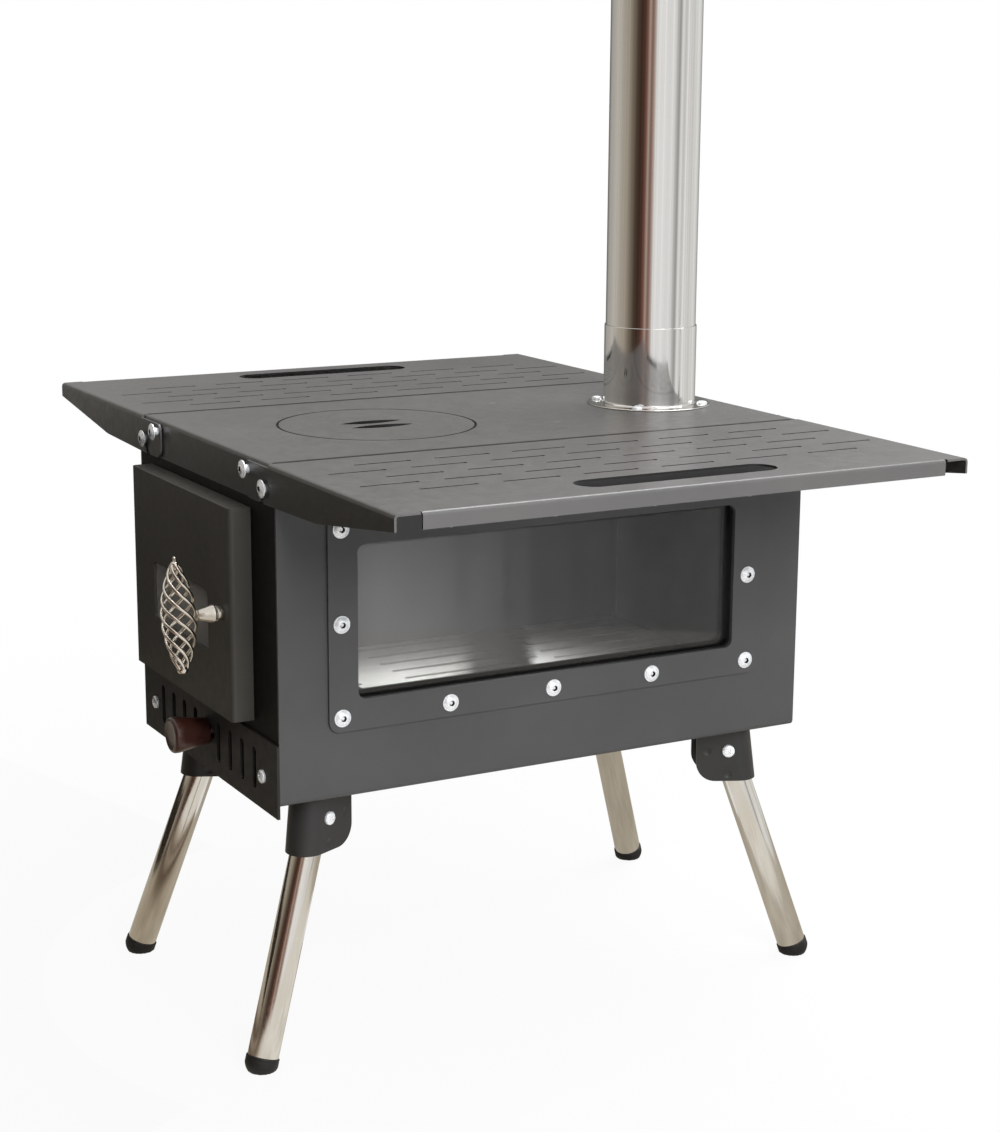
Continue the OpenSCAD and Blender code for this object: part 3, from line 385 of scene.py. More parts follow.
@dataclass(frozen=True)
class GratePlate:
    """Pressed steel channel, coloured in zones of painted light and shade: a pool of light at the
    door end, shade in the middle and a fainter pool beyond.

    The zones are shares of the way from the first of ends_mm to the second, along Y slanted by
    X, and the far side is sooty across sooty_mm. The drawing lines run along Y.
    """

    name: str = "pressed_steel_grate"
    ends_mm: tuple[float, float] = (-200.0, 200.0)
    slant: float = 0.5
    wobble_mm: float = 5.0
    wobble_cell_mm: float = 14.0
    # Painted light and shade: a pool of light at the door end, a band of shade, a bright line and a
    # fainter pool beyond
    painted_light_zones: Stops = (
        (0.12, "#1e1d1d"),
        (0.22, "#a4a4a2"),
        (0.47, "#979795"),
        (0.52, "#0d0c0c"),
        (0.635, "#0d0c0c"),
        (0.66, "#ffffff"),
        (0.78, "#d0d0ce"),
        (1.0, "#4a4a49"),
    )
    sooty: str = "#242322"
    sooty_mm: tuple[float, float] = (-85.0, -15.0)
    sooty_share: float = 0.85
    metallic: float = 0.25
    roughness: tuple[float, float] = (0.3, 0.5)
    line: str = "#5a5958"
    line_share: float = 0.3
    line_mm: float = 1.6
    line_stretch: Triple = (1.0, 80.0, 1.0)
    line_depth_mm: float = 0.02

    def zoned(self, s: Surface) -> Socket:
        """Gives the colour of the zones, with the soot of the far side over them."""
        x, y, _ = s.split(s.place)
        ragged = s.speckle(self.wobble_cell_mm, detail=4)
        wobble = s.spread(ragged, -self.wobble_mm * MM, self.wobble_mm * MM)
        slant = {"operation": "MULTIPLY_ADD", 1: self.slant}
        slanted = add_node(s.tree, "Math", slant, {0: x, 2: wobble}).outputs[0]
        along = add_node(s.tree, "Math", {"operation": "ADD"}, {0: y, 1: slanted}).outputs[0]
        start, end = (v * MM for v in self.ends_mm)
        whole = dict(zip(RANGES, (start, end, 0.0, 1.0)))
        share = add_node(s.tree, "MapRange", whole, {"Value": along}).outputs[0]
        painted_light_zones = add_node(s.tree, "ValToRGB", links={0: share})
        set_stops(painted_light_zones.color_ramp, self.painted_light_zones)
        far, near = (v * MM for v in self.sooty_mm)
        fade = dict(zip(RANGES, (far, near, self.sooty_share, 0.0)))
        sooty = add_node(s.tree, "MapRange", fade, {"Value": x}).outputs[0]
        return s.blend(sooty, painted_light_zones.outputs[0], self.sooty)

    def material(self) -> bpy.types.Material:
        """Builds the plate's finish."""
        s = Surface(self.name, {"Metallic": self.metallic})
        lines = s.speckle(self.line_mm, self.line_stretch, 3)
        colour = s.blend(s.spread(lines, 0.0, self.line_share), self.zoned(s), self.line)
        s.feed(Base_Color=colour, Roughness=s.spread(lines, *self.roughness))
        s.emboss(lines, self.line_depth_mm)
        return s.material


@dataclass(frozen=True)
class Pane:
    """Ceramic stove glass: faintly smoked, with a veil of ash that greys what lies behind.

    The mirror part follows the angle of sight and the rest lets light and sight through. The
    veil goes from its first share at the door end of the pane to its second, span_mm further in,
    and leaves the band below clean_below_mm clear. A veil that fades from the door end is painted
    reflection that lightens that end, and the clear band lets the painted shade behind it show.
    """

    name: str
    clear: str
    smoke: str
    ash: str
    veil: tuple[float, float]
    start_mm: float = -150.0
    span_mm: float = 150.0
    clean_below_mm: float = 0.0
    smoke_mm: float = 60.0
    mirror_least: float = 0.04
    mirror_gain: float = 0.9
    mirror_roughness: float = 0.03

    def mirror_share(self, s: Surface) -> Socket:
        """Gives the least share plus the gain times the fifth power of the facing share."""
        facing = add_node(s.tree, "LayerWeight", {"Blend": 0.5}).outputs["Facing"]
        edge = add_node(s.tree, "Math", {"operation": "POWER", 1: 5.0}, {0: facing}).outputs[0]
        gain = {"operation": "MULTIPLY_ADD", 1: self.mirror_gain, 2: self.mirror_least}
        return add_node(s.tree, "Math", gain, {0: edge}).outputs[0]

    def veil_share(self, s: Surface) -> Socket:
        """Gives the share of light that the ash stops."""
        _, y, z = s.split(s.place)
        start, end = self.start_mm * MM, (self.start_mm + self.span_mm) * MM
        fall = dict(zip(RANGES, (start, end, *self.veil)), interpolation_type="SMOOTHSTEP")
        veil = add_node(s.tree, "MapRange", fall, {"Value": y}).outputs[0]
        band = {"operation": "GREATER_THAN", 1: self.clean_below_mm * MM}
        return s.both(veil, add_node(s.tree, "Math", band, {0: z}).outputs[0])

    def material(self) -> bpy.types.Material:
        """Builds the glass."""
        s = Surface(self.name, {}, "BsdfTransparent")
        film = s.spread(s.speckle(self.smoke_mm, detail=4), 0, 1)
        s.feed(Color=s.blend(film, self.clear, self.smoke))
        shine = {"Color": linear("#ffffff"), "Roughness": self.mirror_roughness}
        mirror = add_node(s.tree, "BsdfAnisotropic", shine).outputs[0]
        ash = add_node(s.tree, "BsdfDiffuse", {"Color": linear(self.ash)}).outputs[0]
        misty = add_node(
            s.tree, "MixShader", links={0: self.veil_share(s), 1: s.bsdf.outputs[0], 2: ash}
        )
        mixed = add_node(
            s.tree, "MixShader", links={0: self.mirror_share(s), 1: misty.outputs[0], 2: mirror}
        )
        s.tree.links.new(mixed.outputs[0], s.out.inputs["Surface"])
        return s.material


@dataclass(frozen=True)
class TurnedWood:
    """Turned beech, stained red-brown and lacquered: fine grain under a glossy coat."""

    name: str = "lacquered_beech"
    dark: str = "#210d08"
    light: str = "#42190f"
    figure: str = "#3a1a12"
    figure_mm: float = 9.0
    figure_stretch: Triple = (1.0, 4.0, 1.0)
    grain_mm: float = 1.5
    grain_stretch: Triple = (1.0, 14.0, 1.0)
    grain_depth_mm: float = 0.02
    roughness: tuple[float, float] = (0.35, 0.5)
    coat: float = 0.4
    coat_roughness: float = 0.2

    def material(self) -> bpy.types.Material:
        """Builds the wood; its grain runs along the knob's axis, Y."""
        lacquer = {"Coat Weight": self.coat, "Coat Roughness": self.coat_roughness}
        s = Surface(self.name, {"IOR": LACQUER_IOR, "Coat IOR": LACQUER_IOR, **lacquer})
        grain = s.speckle(self.grain_mm, self.grain_stretch, 4)
        figure = s.spread(s.speckle(self.figure_mm, self.figure_stretch, 3), 0, 1)
        colour = s.blend(s.spread(grain, 0, 1), self.dark, self.light)
        s.feed(
            Base_Color=s.blend(figure, colour, self.figure),
            Roughness=s.spread(grain, *self.roughness),
        )
        s.emboss(grain, self.grain_depth_mm)
        return s.material


@dataclass(frozen=True)
class Moulded:
    """Moulded rubber or pressed fibre: matt, with a fine grain and scuffs."""

    name: str
    colour: str
    scuffed: str
    roughness: float
    grain_mm: float
    depth_mm: float
    gloss: float = 0.35
    scuff_mm: float = 7.0
    scuff_least: float = -0.6
    wear: tuple[float, float] = (-0.08, 0.1)

    def material(self) -> bpy.types.Material:
        """Builds the finish; the scuffs' least share is below nought, so they are few."""
        s = Surface(self.name, {"IOR": LACQUER_IOR, "Specular IOR Level": self.gloss})
        grain = s.speckle(self.grain_mm, detail=4)
        scuff = s.spread(s.speckle(self.scuff_mm, detail=5), self.scuff_least, 1)
        least, most = (self.roughness + v for v in self.wear)
        colour = s.blend(scuff, self.colour, self.scuffed)
        s.feed(Base_Color=colour, Roughness=s.spread(grain, least, most))
        s.emboss(grain, self.depth_mm)
        return s.material


# The one paint of the stove in lit and shaded copies: lighter and glossiest on the top and
# shelves as painted light, darker on the door, the vent panel, the front panel and the window's
# retainer as painted shade, and without its peel on the rear panel, which shows through the glass
TOP_LIT_PAINT = StovePaint("stove_paint_top_lit", "#565555", "#5c5b5a", 0.37, 0.6, painted_shade_cuts=True)
SIDE_PAINT = StovePaint(
    "stove_paint_body", "#434344", "#494949", 0.5, 0.35, soot_in=True, peel_mm=0.002
)
REAR_PAINT = StovePaint("stove_paint_rear", "#434344", "#494949", 0.5, 0.35, peel_mm=0.0004)
PLATE_PAINT = StovePaint("stove_paint_frame", "#444445", "#4a4a4a", 0.5, 0.35)
# Painted shade: the vent and front panels are darker copies of the body's paint
VENT_SHADE_PAINT = StovePaint("stove_paint_vent_shaded", "#252423", "#2b2a28", 0.55, 0.2)
SHADE_PAINT = StovePaint("stove_paint_shaded_panel", "#111010", "#171615", 0.6, 0.12)
# Painted shade: the retainer is near black for the shaded strip at the foot of the window
RETAINER_SHADE_PAINT = StovePaint("stove_paint_retainer_shaded", "#0a0a0a", "#101010", 0.6, 0.1)
# Painted shade: the door is a darker copy of the body's paint
DOOR_SHADE_PAINT = StovePaint("stove_paint_door_shaded", "#383733", "#3e3c38", 0.5, 0.35)
LEG_PAINT = StovePaint("stove_paint_bracket", "#262626", "#2c2b2b", 0.4, 0.4)

# The pipe mirrors the room in upright streaks; tubes, wire, boss and screws do so less and less
PIPE_STEEL = Steel("polished_stainless_pipe", "#e8e7e5", "#cfccc8", 0.07, Lay.UPRIGHT, 1.6)
LEG_STEEL = Steel("polished_stainless_tube", "#e4e1dc", "#cfcac1", 0.13, Lay.UPRIGHT, 1.2)
WIRE_STEEL = Steel("polished_stainless_wire", "#e6e1d8", "#d4cdc1", 0.13, Lay.ROUND, 0.5)
BOSS_STEEL = Steel("turned_stainless_boss", "#d3cec5", "#c1bbb0", 0.2, Lay.ROUND, 0.5)
SCREW_STEEL = Steel(
    "bright_zinc_screw", "#f6f8fb", "#eceff3", 0.24, Lay.ROUND, 0.4, metallic=0.45
)
# Painted shade: the sockets' walls are dark for the shade inside the hollow
SOCKET_SHADE_STEEL = Steel("socket_steel_shaded", "#3a3836", "#2e2c2b", 0.4, Lay.ROUND, 0.4)
INNER_STEEL = FireSteel("fire_scaled_sheet", "#6b6a69", "#3a3735", 0.5)

# The long pane is nearly clear, its veil fading from the door end as painted reflection and left
# off low down, where the retainer's painted shade shows through; the door's pane is grey with ash
WINDOW_GLASS = Pane(
    "ceramic_glass_side", "#f2f2f2", "#e6e6e5", "#c8c8c8", (0.15, 0.02), clean_below_mm=265.5
)
DOOR_GLASS = Pane("ceramic_glass_door", "#c9c7c3", "#a9a7a2", "#e4ded6", (0.55, 0.55))

# Matt black rubber and felt, a pale rope of glass fibre and a dark red lacquered knob
RUBBER = Moulded("moulded_rubber", "#121212", "#1d1c1b", 0.55, 0.5, 0.03)
SEAL_FELT = Moulded("pressed_fibre_seal", "#0c0b0b", "#171615", 0.85, 0.8, 0.1)
GLASS_ROPE = Moulded("glass_fibre_rope", "#b9b3a6", "#8d877b", 0.9, 0.5, 0.06)
WOOD = TurnedWood()


def dress(finish: Finish, *nodes: str) -> None:
    """Gives one finish's material to CAD nodes.

    Args:
        finish: the finish.
        nodes: names of the CAD nodes.
    """
    material = finish.material()
    for name in nodes:
        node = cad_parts[name]
        if not node.material_slots:
            node.data.materials.append(material)
        for slot in node.material_slots:
            slot.material = material
        LOG.info("dressed %s in %s", name, material.name)


def weave(rows: int, columns: int, loop_rows: bool, loop_columns: bool) -> np.ndarray:
    """Joins a grid of points into quads.

    Args:
        rows: number of rows of points.
        columns: number of points in a row.
        loop_rows: whether the last row joins the first.
        loop_columns: whether the last point of a row joins its first.

    Returns:
        Four point numbers for each quad, corner after corner round it.
    """
    i = np.arange(rows if loop_rows else rows - 1)[:, None]
    j = np.arange(columns if loop_columns else columns - 1)[None, :]
    down, right = (i + 1) % rows, (j + 1) % columns
    corners = [i * columns + j, i * columns + right, down * columns + right, down * columns + j]
    return np.stack(np.broadcast_arrays(*corners), axis=-1).reshape(-1, 4)


@dataclass
class Piece:
    """Collects grids of points into one mesh object that rides on a body."""

    name: str
    body: str
    slot: str
    stands_for: tuple[str, ...] = ()
    points: list[np.ndarray] = field(default_factory=list)
    quads: list[np.ndarray] = field(default_factory=list)
    marks: list[np.ndarray] = field(default_factory=list)
    count: int = 0

    def add(
        self,
        grid: np.ndarray,
        loop_rows: bool = False,
        loop_columns: bool = False,
        second: tuple[int, int] = (0, 0),
    ) -> None:
        """Adds a surface.

        Args:
            grid: points in millimetres, rows by columns by three.
            loop_rows: whether the last row joins the first.
            loop_columns: whether the last column joins the first.
            second: first and one past the last row of quads in the piece's second finish.
        """
        rows, columns = grid.shape[:2]
        quads = weave(rows, columns, loop_rows, loop_columns)
        across = columns if loop_columns else columns - 1
        mark = np.zeros(len(quads), dtype=np.int32)
        mark[second[0] * across : second[1] * across] = 1
        self.points.append(grid.reshape(-1, 3))
        self.quads.append(quads + self.count)
        self.marks.append(mark)
        self.count += rows * columns

    def finish(
        self, finish: Finish, crease_deg: float = 35, second: Finish | None = None
    ) -> bpy.types.Object:
        """Makes the object, with its doubles merged and its faces turned outwards.

        Args:
            finish: the finish of the piece.
            crease_deg: edges sharper than this stay sharp.
            second: the finish of the marked faces, if any.

        Returns:
            The new object, which rides on its body.
        """
        points = np.concatenate(self.points) * MM
        quads = np.concatenate(self.quads)
        mesh = bpy.data.meshes.new(self.name)
        mesh.from_pydata(points.tolist(), [], quads.tolist())
        mesh.update()
        mesh.materials.append(finish.material())
        if second:
            mesh.materials.append(second.material())
            mesh.polygons.foreach_set("material_index", np.concatenate(self.marks))
        clean_mesh(mesh)
        mesh.shade_smooth()
        mesh.set_sharp_from_angle(angle=math.radians(crease_deg))
        obj = bpy.data.objects.new(self.name, mesh)
        bpy.context.scene.collection.objects.link(obj)
        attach(obj, self.body)
        if self.stands_for:
            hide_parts(*self.stands_for)
        LOG.info("built %s with %d faces", self.name, len(mesh.polygons))
        return obj


def clean_mesh(mesh: bpy.types.Mesh) -> None:
    """Merges points that coincide, drops faces with no area and turns all faces outwards."""
    work = bmesh.new()
    work.from_mesh(mesh)
    bmesh.ops.remove_doubles(work, verts=work.verts, dist=1e-7)
    bmesh.ops.dissolve_degenerate(work, edges=work.edges, dist=1e-8)
    bmesh.ops.recalc_face_normals(work, faces=work.faces)
    work.to_mesh(mesh)
    work.free()


def full_turn(steps: int) -> np.ndarray:
    """Gives evenly spaced angles for a closed turn, in radians."""
    return np.linspace(0, 2 * math.pi, steps, endpoint=False)


def spin(r: np.ndarray | float, z: np.ndarray | float, angles: np.ndarray) -> np.ndarray:
    """Gives the grid whose points are radius times cosine, radius times sine, and height.

    Args:
        r: radii, rows by columns, rows by one or one for all.
        z: heights, rows by columns, rows by one or one for all.
        angles: one angle about Z for each column, in radians.

    Returns:
        The grid, rows by columns by three.
    """
    return np.stack(np.broadcast_arrays(r * np.cos(angles), r * np.sin(angles), z), axis=-1)


def lathe(profile: np.ndarray, angles: np.ndarray) -> np.ndarray:
    """Turns a profile, the radius and height of each point, about Z."""
    return spin(profile[:, :1], profile[:, 1:], angles)


def turn_pair(
    first: np.ndarray, second: np.ndarray, degrees: float
) -> tuple[np.ndarray, np.ndarray]:
    """Turns points in a plane from the first axis towards the second.

    Args:
        first: their places along the first axis.
        second: their places along the second axis.
        degrees: the angle.

    Returns:
        Cosine times first less sine times second, and sine times first plus cosine times second.
    """
    a = math.radians(degrees)
    return (
        first * math.cos(a) - second * math.sin(a),
        first * math.sin(a) + second * math.cos(a),
    )


def arc(
    centre: tuple[float, float], radius: float, start: float, end: float, steps: int
) -> np.ndarray:
    """Gives points on a circular arc in the plane, from start to end in degrees."""
    a = np.radians(np.linspace(start, end, steps))
    return np.stack([centre[0] + radius * np.cos(a), centre[1] + radius * np.sin(a)], axis=1)


def oval(half_w: float | np.ndarray, half_h: float | np.ndarray, a: np.ndarray) -> np.ndarray:
    """Gives points whose place is half the width times cosine and half the height times sine."""
    return np.stack(np.broadcast_arrays(half_w * np.cos(a), half_h * np.sin(a)), axis=-1)


def sweep(path: np.ndarray, section: np.ndarray, up: np.ndarray) -> np.ndarray:
    """Carries a section along a path.

    Args:
        path: points of the path.
        section: for each path point its own section points, sideways and upwards.
        up: for each path point, roughly the direction that is upwards.

    Returns:
        A grid: each path point plus sideways times the side vector plus upwards times the up
        vector.
    """
    ahead = np.gradient(path, axis=0)
    ahead /= np.linalg.norm(ahead, axis=1, keepdims=True)
    side = np.cross(up, ahead)
    side /= np.linalg.norm(side, axis=1, keepdims=True)
    rise = np.cross(ahead, side)
    return path[:, None] + section[..., :1] * side[:, None] + section[..., 1:] * rise[:, None]


def sweep_loop(path: np.ndarray, section: np.ndarray, up: Triple) -> np.ndarray:
    """Carries a section along a path that closes on itself.

    Args:
        path: points of the path, the last one step short of the first.
        section: for each path point its own section points, sideways and upwards.
        up: roughly the direction that is upwards all along it.

    Returns:
        The grid, whose last row joins its first.
    """
    closed, sections = (np.concatenate([v[-1:], v, v[:1]]) for v in (path, section))
    return sweep(closed, sections, np.tile(up, (len(closed), 1)))[1:-1]


# How far each screw of a row was left turned from the one before it, in radians
SCREW_TURN = 2.4


@dataclass(frozen=True)
class ButtonScrew:
    """A flanged button-head screw with a hexagon socket, seat at nought and head towards +Z."""

    shank_l: float
    shank_r: float = 3.0
    tip: float = 0.4
    rim_r: float = 6.2
    rim_h: float = 0.9
    rim_edge_r: float = 0.35
    dome_r: float = 5.5
    dome_h: float = 2.0
    dome_power: float = 2.4
    flat_share: float = 0.46
    socket: float = 3.8
    socket_z: float = 0.9
    bevel: float = 0.15
    lip_h: float = 0.05
    drill_share: float = 0.62
    drill_h: float = 0.2

    def add_to(self, piece: Piece, turn: float, axis: Triple, place: Triple) -> None:
        """Adds the screw to a piece, its socket's walls in the piece's second finish.

        Args:
            piece: the piece.
            turn: the angle at which the screw was left, in radians.
            axis: the level direction in which its head looks.
            place: its seat.
        """
        grid = self.grid(turn)
        walls = len(grid) - 3, len(grid) - 2
        piece.add(look_along(grid, axis) + place, loop_columns=True, second=walls)

    def grid(self, turn: float) -> np.ndarray:
        """Turns the screw.

        Args:
            turn: the angle at which it was left, in radians.

        Returns:
            Its grid: the dome's height falls with a power of its radius share, and the socket's
            radius is half its width over the cosine of the angle from the nearest flat.
        """
        a = full_turn(60)
        sixth = math.pi / 3
        flat = self.socket / 2 / np.cos((a + turn) % sixth - sixth / 2)
        low, high = -self.shank_l, self.rim_h + self.dome_h
        edge_r, r = self.rim_edge_r, self.shank_r
        share = np.linspace(1, self.flat_share, 9)
        dome = [self.dome_r * share, high - self.dome_h * share**self.dome_power]
        turned = np.concatenate(
            [
                [(0, low), (r - self.tip, low), (r, low + self.tip), (r, 0), (self.rim_r, 0)],
                arc((self.rim_r - edge_r, self.rim_h - edge_r), edge_r, 0, 90, 5),
                np.stack(dome, axis=1),
            ]
        )
        body = np.broadcast_to(turned[:, :1], (len(turned), len(a)))
        sunk = [flat + self.bevel, flat, self.drill_share * flat, 0 * flat]
        top = turned[-1, 1] + self.lip_h
        heights = [top, top - self.bevel, self.socket_z, self.socket_z - self.drill_h]
        z = np.concatenate([turned[:, 1], heights])[:, None]
        return spin(np.concatenate([body, sunk]), z, a)


@dataclass(frozen=True)
class CrossScrew:
    """A pan-head screw with a cross recess, seat at nought and head towards +Z."""

    shank_l: float
    shank_r: float = 2.5
    tip: float = 0.4
    head_r: float = 4.9
    head_h: float = 3.0
    edge_h: float = 0.7
    dome_power: float = 0.7
    arm_w: float = 0.6
    arm_slope: float = 0.25
    arm_l: float = 2.4
    arm_end: float = 0.6
    cut: float = 1.1

    def grid(self, turn: float) -> np.ndarray:
        """Turns the screw.

        Args:
            turn: the angle at which it was left, in radians.

        Returns:
            Its grid: a low dome, sunk where a point is near one of the cross's two arms.
        """
        a = full_turn(72)
        share = np.sin(np.linspace(0, math.pi / 2, 25))[:, None]
        r = self.head_r * share
        z = self.edge_h + (self.head_h - self.edge_h) * np.sqrt(1 - share**2) ** self.dome_power
        own = a + turn
        arms = np.abs(r * np.sin(own)), np.abs(r * np.cos(own))
        narrow, long = np.minimum(*arms), np.maximum(*arms)
        sunk = np.clip((self.arm_w - narrow) / self.arm_slope, 0, 1)
        sunk = sunk * np.clip((self.arm_l - long) / self.arm_end, 0, 1)
        low, shank = -self.shank_l, self.shank_r
        under = [(self.head_r, 0), (shank, 0), (shank, low + self.tip)]
        below = np.array([*under, (shank - self.tip, low), (0, low)])
        return np.concatenate([spin(r, z - self.cut * sunk, a), lathe(below, a)])


def look_along(grid: np.ndarray, axis: Triple) -> np.ndarray:
    """Turns a grid so that its +Z looks along another axis.

    Args:
        grid: the grid.
        axis: the axis, which is level.

    Returns:
        The turned grid, with its +Y upwards.
    """
    ahead = np.array(axis) / np.linalg.norm(axis)
    side = np.cross([0.0, 0.0, 1.0], ahead)
    return grid @ np.stack([side, np.cross(ahead, side), ahead])


@dataclass
class Firebox:
    """The painted body with its top plate, panels, baffle and grate, as the CAD holds them."""

    front: tuple[str, ...] = ("front_panel", "hinge_leaf_body")
    top: tuple[str, ...] = ("top_plate", "cooking_lid")
    hot: tuple[str, ...] = ("lid_ring", "smoke_baffle", "air_guides")

    def build(self) -> None:
        """Dresses the nodes."""
        dress(SIDE_PAINT, "body_shell")
        dress(REAR_PAINT, "rear_panel")
        dress(SHADE_PAINT, *self.front)
        dress(TOP_LIT_PAINT, *self.top)
        dress(INNER_STEEL, *self.hot)
        dress(GratePlate(), "fire_grate")


@dataclass
class SideWindow:
    """The long window of the near side, with its ring of button-head screws."""

    seat_x: float = 131.0
    middle_z: float = STAND_H + 124.0
    pitch: float = 83.4
    rise: float = 66.0
    shank_l: float = 18.0

    def build(self) -> None:
        """Dresses the frame, the glass and its seal, and sets the screws: two rows of five and
        one more at the middle of each end."""
        dress(PLATE_PAINT, "window_frame")
        dress(WINDOW_GLASS, "window_glass")
        dress(SEAL_FELT, "window_gasket")
        dress(RETAINER_SHADE_PAINT, "window_retainer")
        dress(SCREW_STEEL, "window_nuts")
        columns = self.pitch * np.arange(-2, 3)
        places = [(y, self.middle_z + s * self.rise) for s in (-1, 1) for y in columns]
        places += [(s * 2 * self.pitch, self.middle_z) for s in (-1, 1)]
        piece = Piece("window_button_screws", "stove", "screw_steel", ("window_screws",))
        screw = ButtonScrew(self.shank_l)
        for k, (y, z) in enumerate(places):
            screw.add_to(piece, SCREW_TURN * k, (1, 0, 0), (self.seat_x, y, z))
        piece.finish(SCREW_STEEL, second=SOCKET_SHADE_STEEL)


@dataclass
class FuelDoor:
    """The hinged door with its glass and its rope seal."""

    middle_x: float = -8.5
    middle_z: float = STAND_H + 126.5
    seal_half_w: float = 90.2
    seal_half_h: float = 61.5
    seal_corner: float = 8.5
    seal_y: float = -214.4
    rope_w: float = 4.8
    rope_t: float = 2.1
    strand_pitch: float = 9.0
    strands: int = 3
    strand_swell: float = 0.07
    cross_swell: float = 0.05
    step: float = 1.5

    def build(self) -> None:
        """Dresses the door's nodes and lays the rope."""
        dress(DOOR_SHADE_PAINT, "door_shell", "door_liner", "hinge_leaf_door")
        dress(DOOR_GLASS, "door_glass")
        dress(INNER_STEEL, "door_glass_retainer")
        dress(SCREW_STEEL, "door_glass_nuts", "hinge_pin")
        self.lay_rope()

    def lay_rope(self) -> None:
        """Lays a flat glass rope round the mouth: an oval whose surface rises and falls with
        the cosine of the strands that wind round it one way and, less, the other way."""
        w, h, r = self.seal_half_w, self.seal_half_h, self.seal_corner
        corners = [
            arc((sx * (w - r), sz * (h - r)), r, start, start + 90, 12)
            for sx, sz, start in ((1, 1, 0), (-1, 1, 90), (-1, -1, 180), (1, -1, 270))
        ]
        bend = np.concatenate(corners + [corners[0][:1]])
        gone = np.concatenate([[0], np.cumsum(np.linalg.norm(np.diff(bend, axis=0), axis=1))])
        run = gone[-1]
        at = np.linspace(0, run, int(run / self.step), endpoint=False)
        x, z = (np.interp(at, gone, bend[:, k]) for k in (0, 1))
        path = [self.middle_x + x, np.full(len(at), self.seal_y), self.middle_z + z]
        a = full_turn(14)[None, :]
        turns = 2 * math.pi * round(run / self.strand_pitch) * (at / run)[:, None]
        swell = 1 - self.strand_swell * np.cos(self.strands * a + turns)
        swell = swell - self.cross_swell * np.cos(self.strands * a - turns)
        swell = swell / (1 + self.strand_swell + self.cross_swell)
        section = oval(self.rope_w / 2 * swell, self.rope_t / 2 * swell, a)
        piece = Piece("door_rope_seal", "door", "seal_rope", ("door_gasket",))
        grid = sweep_loop(np.stack(path, axis=1), section, (0.0, 1.0, 0.0))
        piece.add(grid, loop_rows=True, loop_columns=True)
        piece.finish(GLASS_ROPE, crease_deg=60)


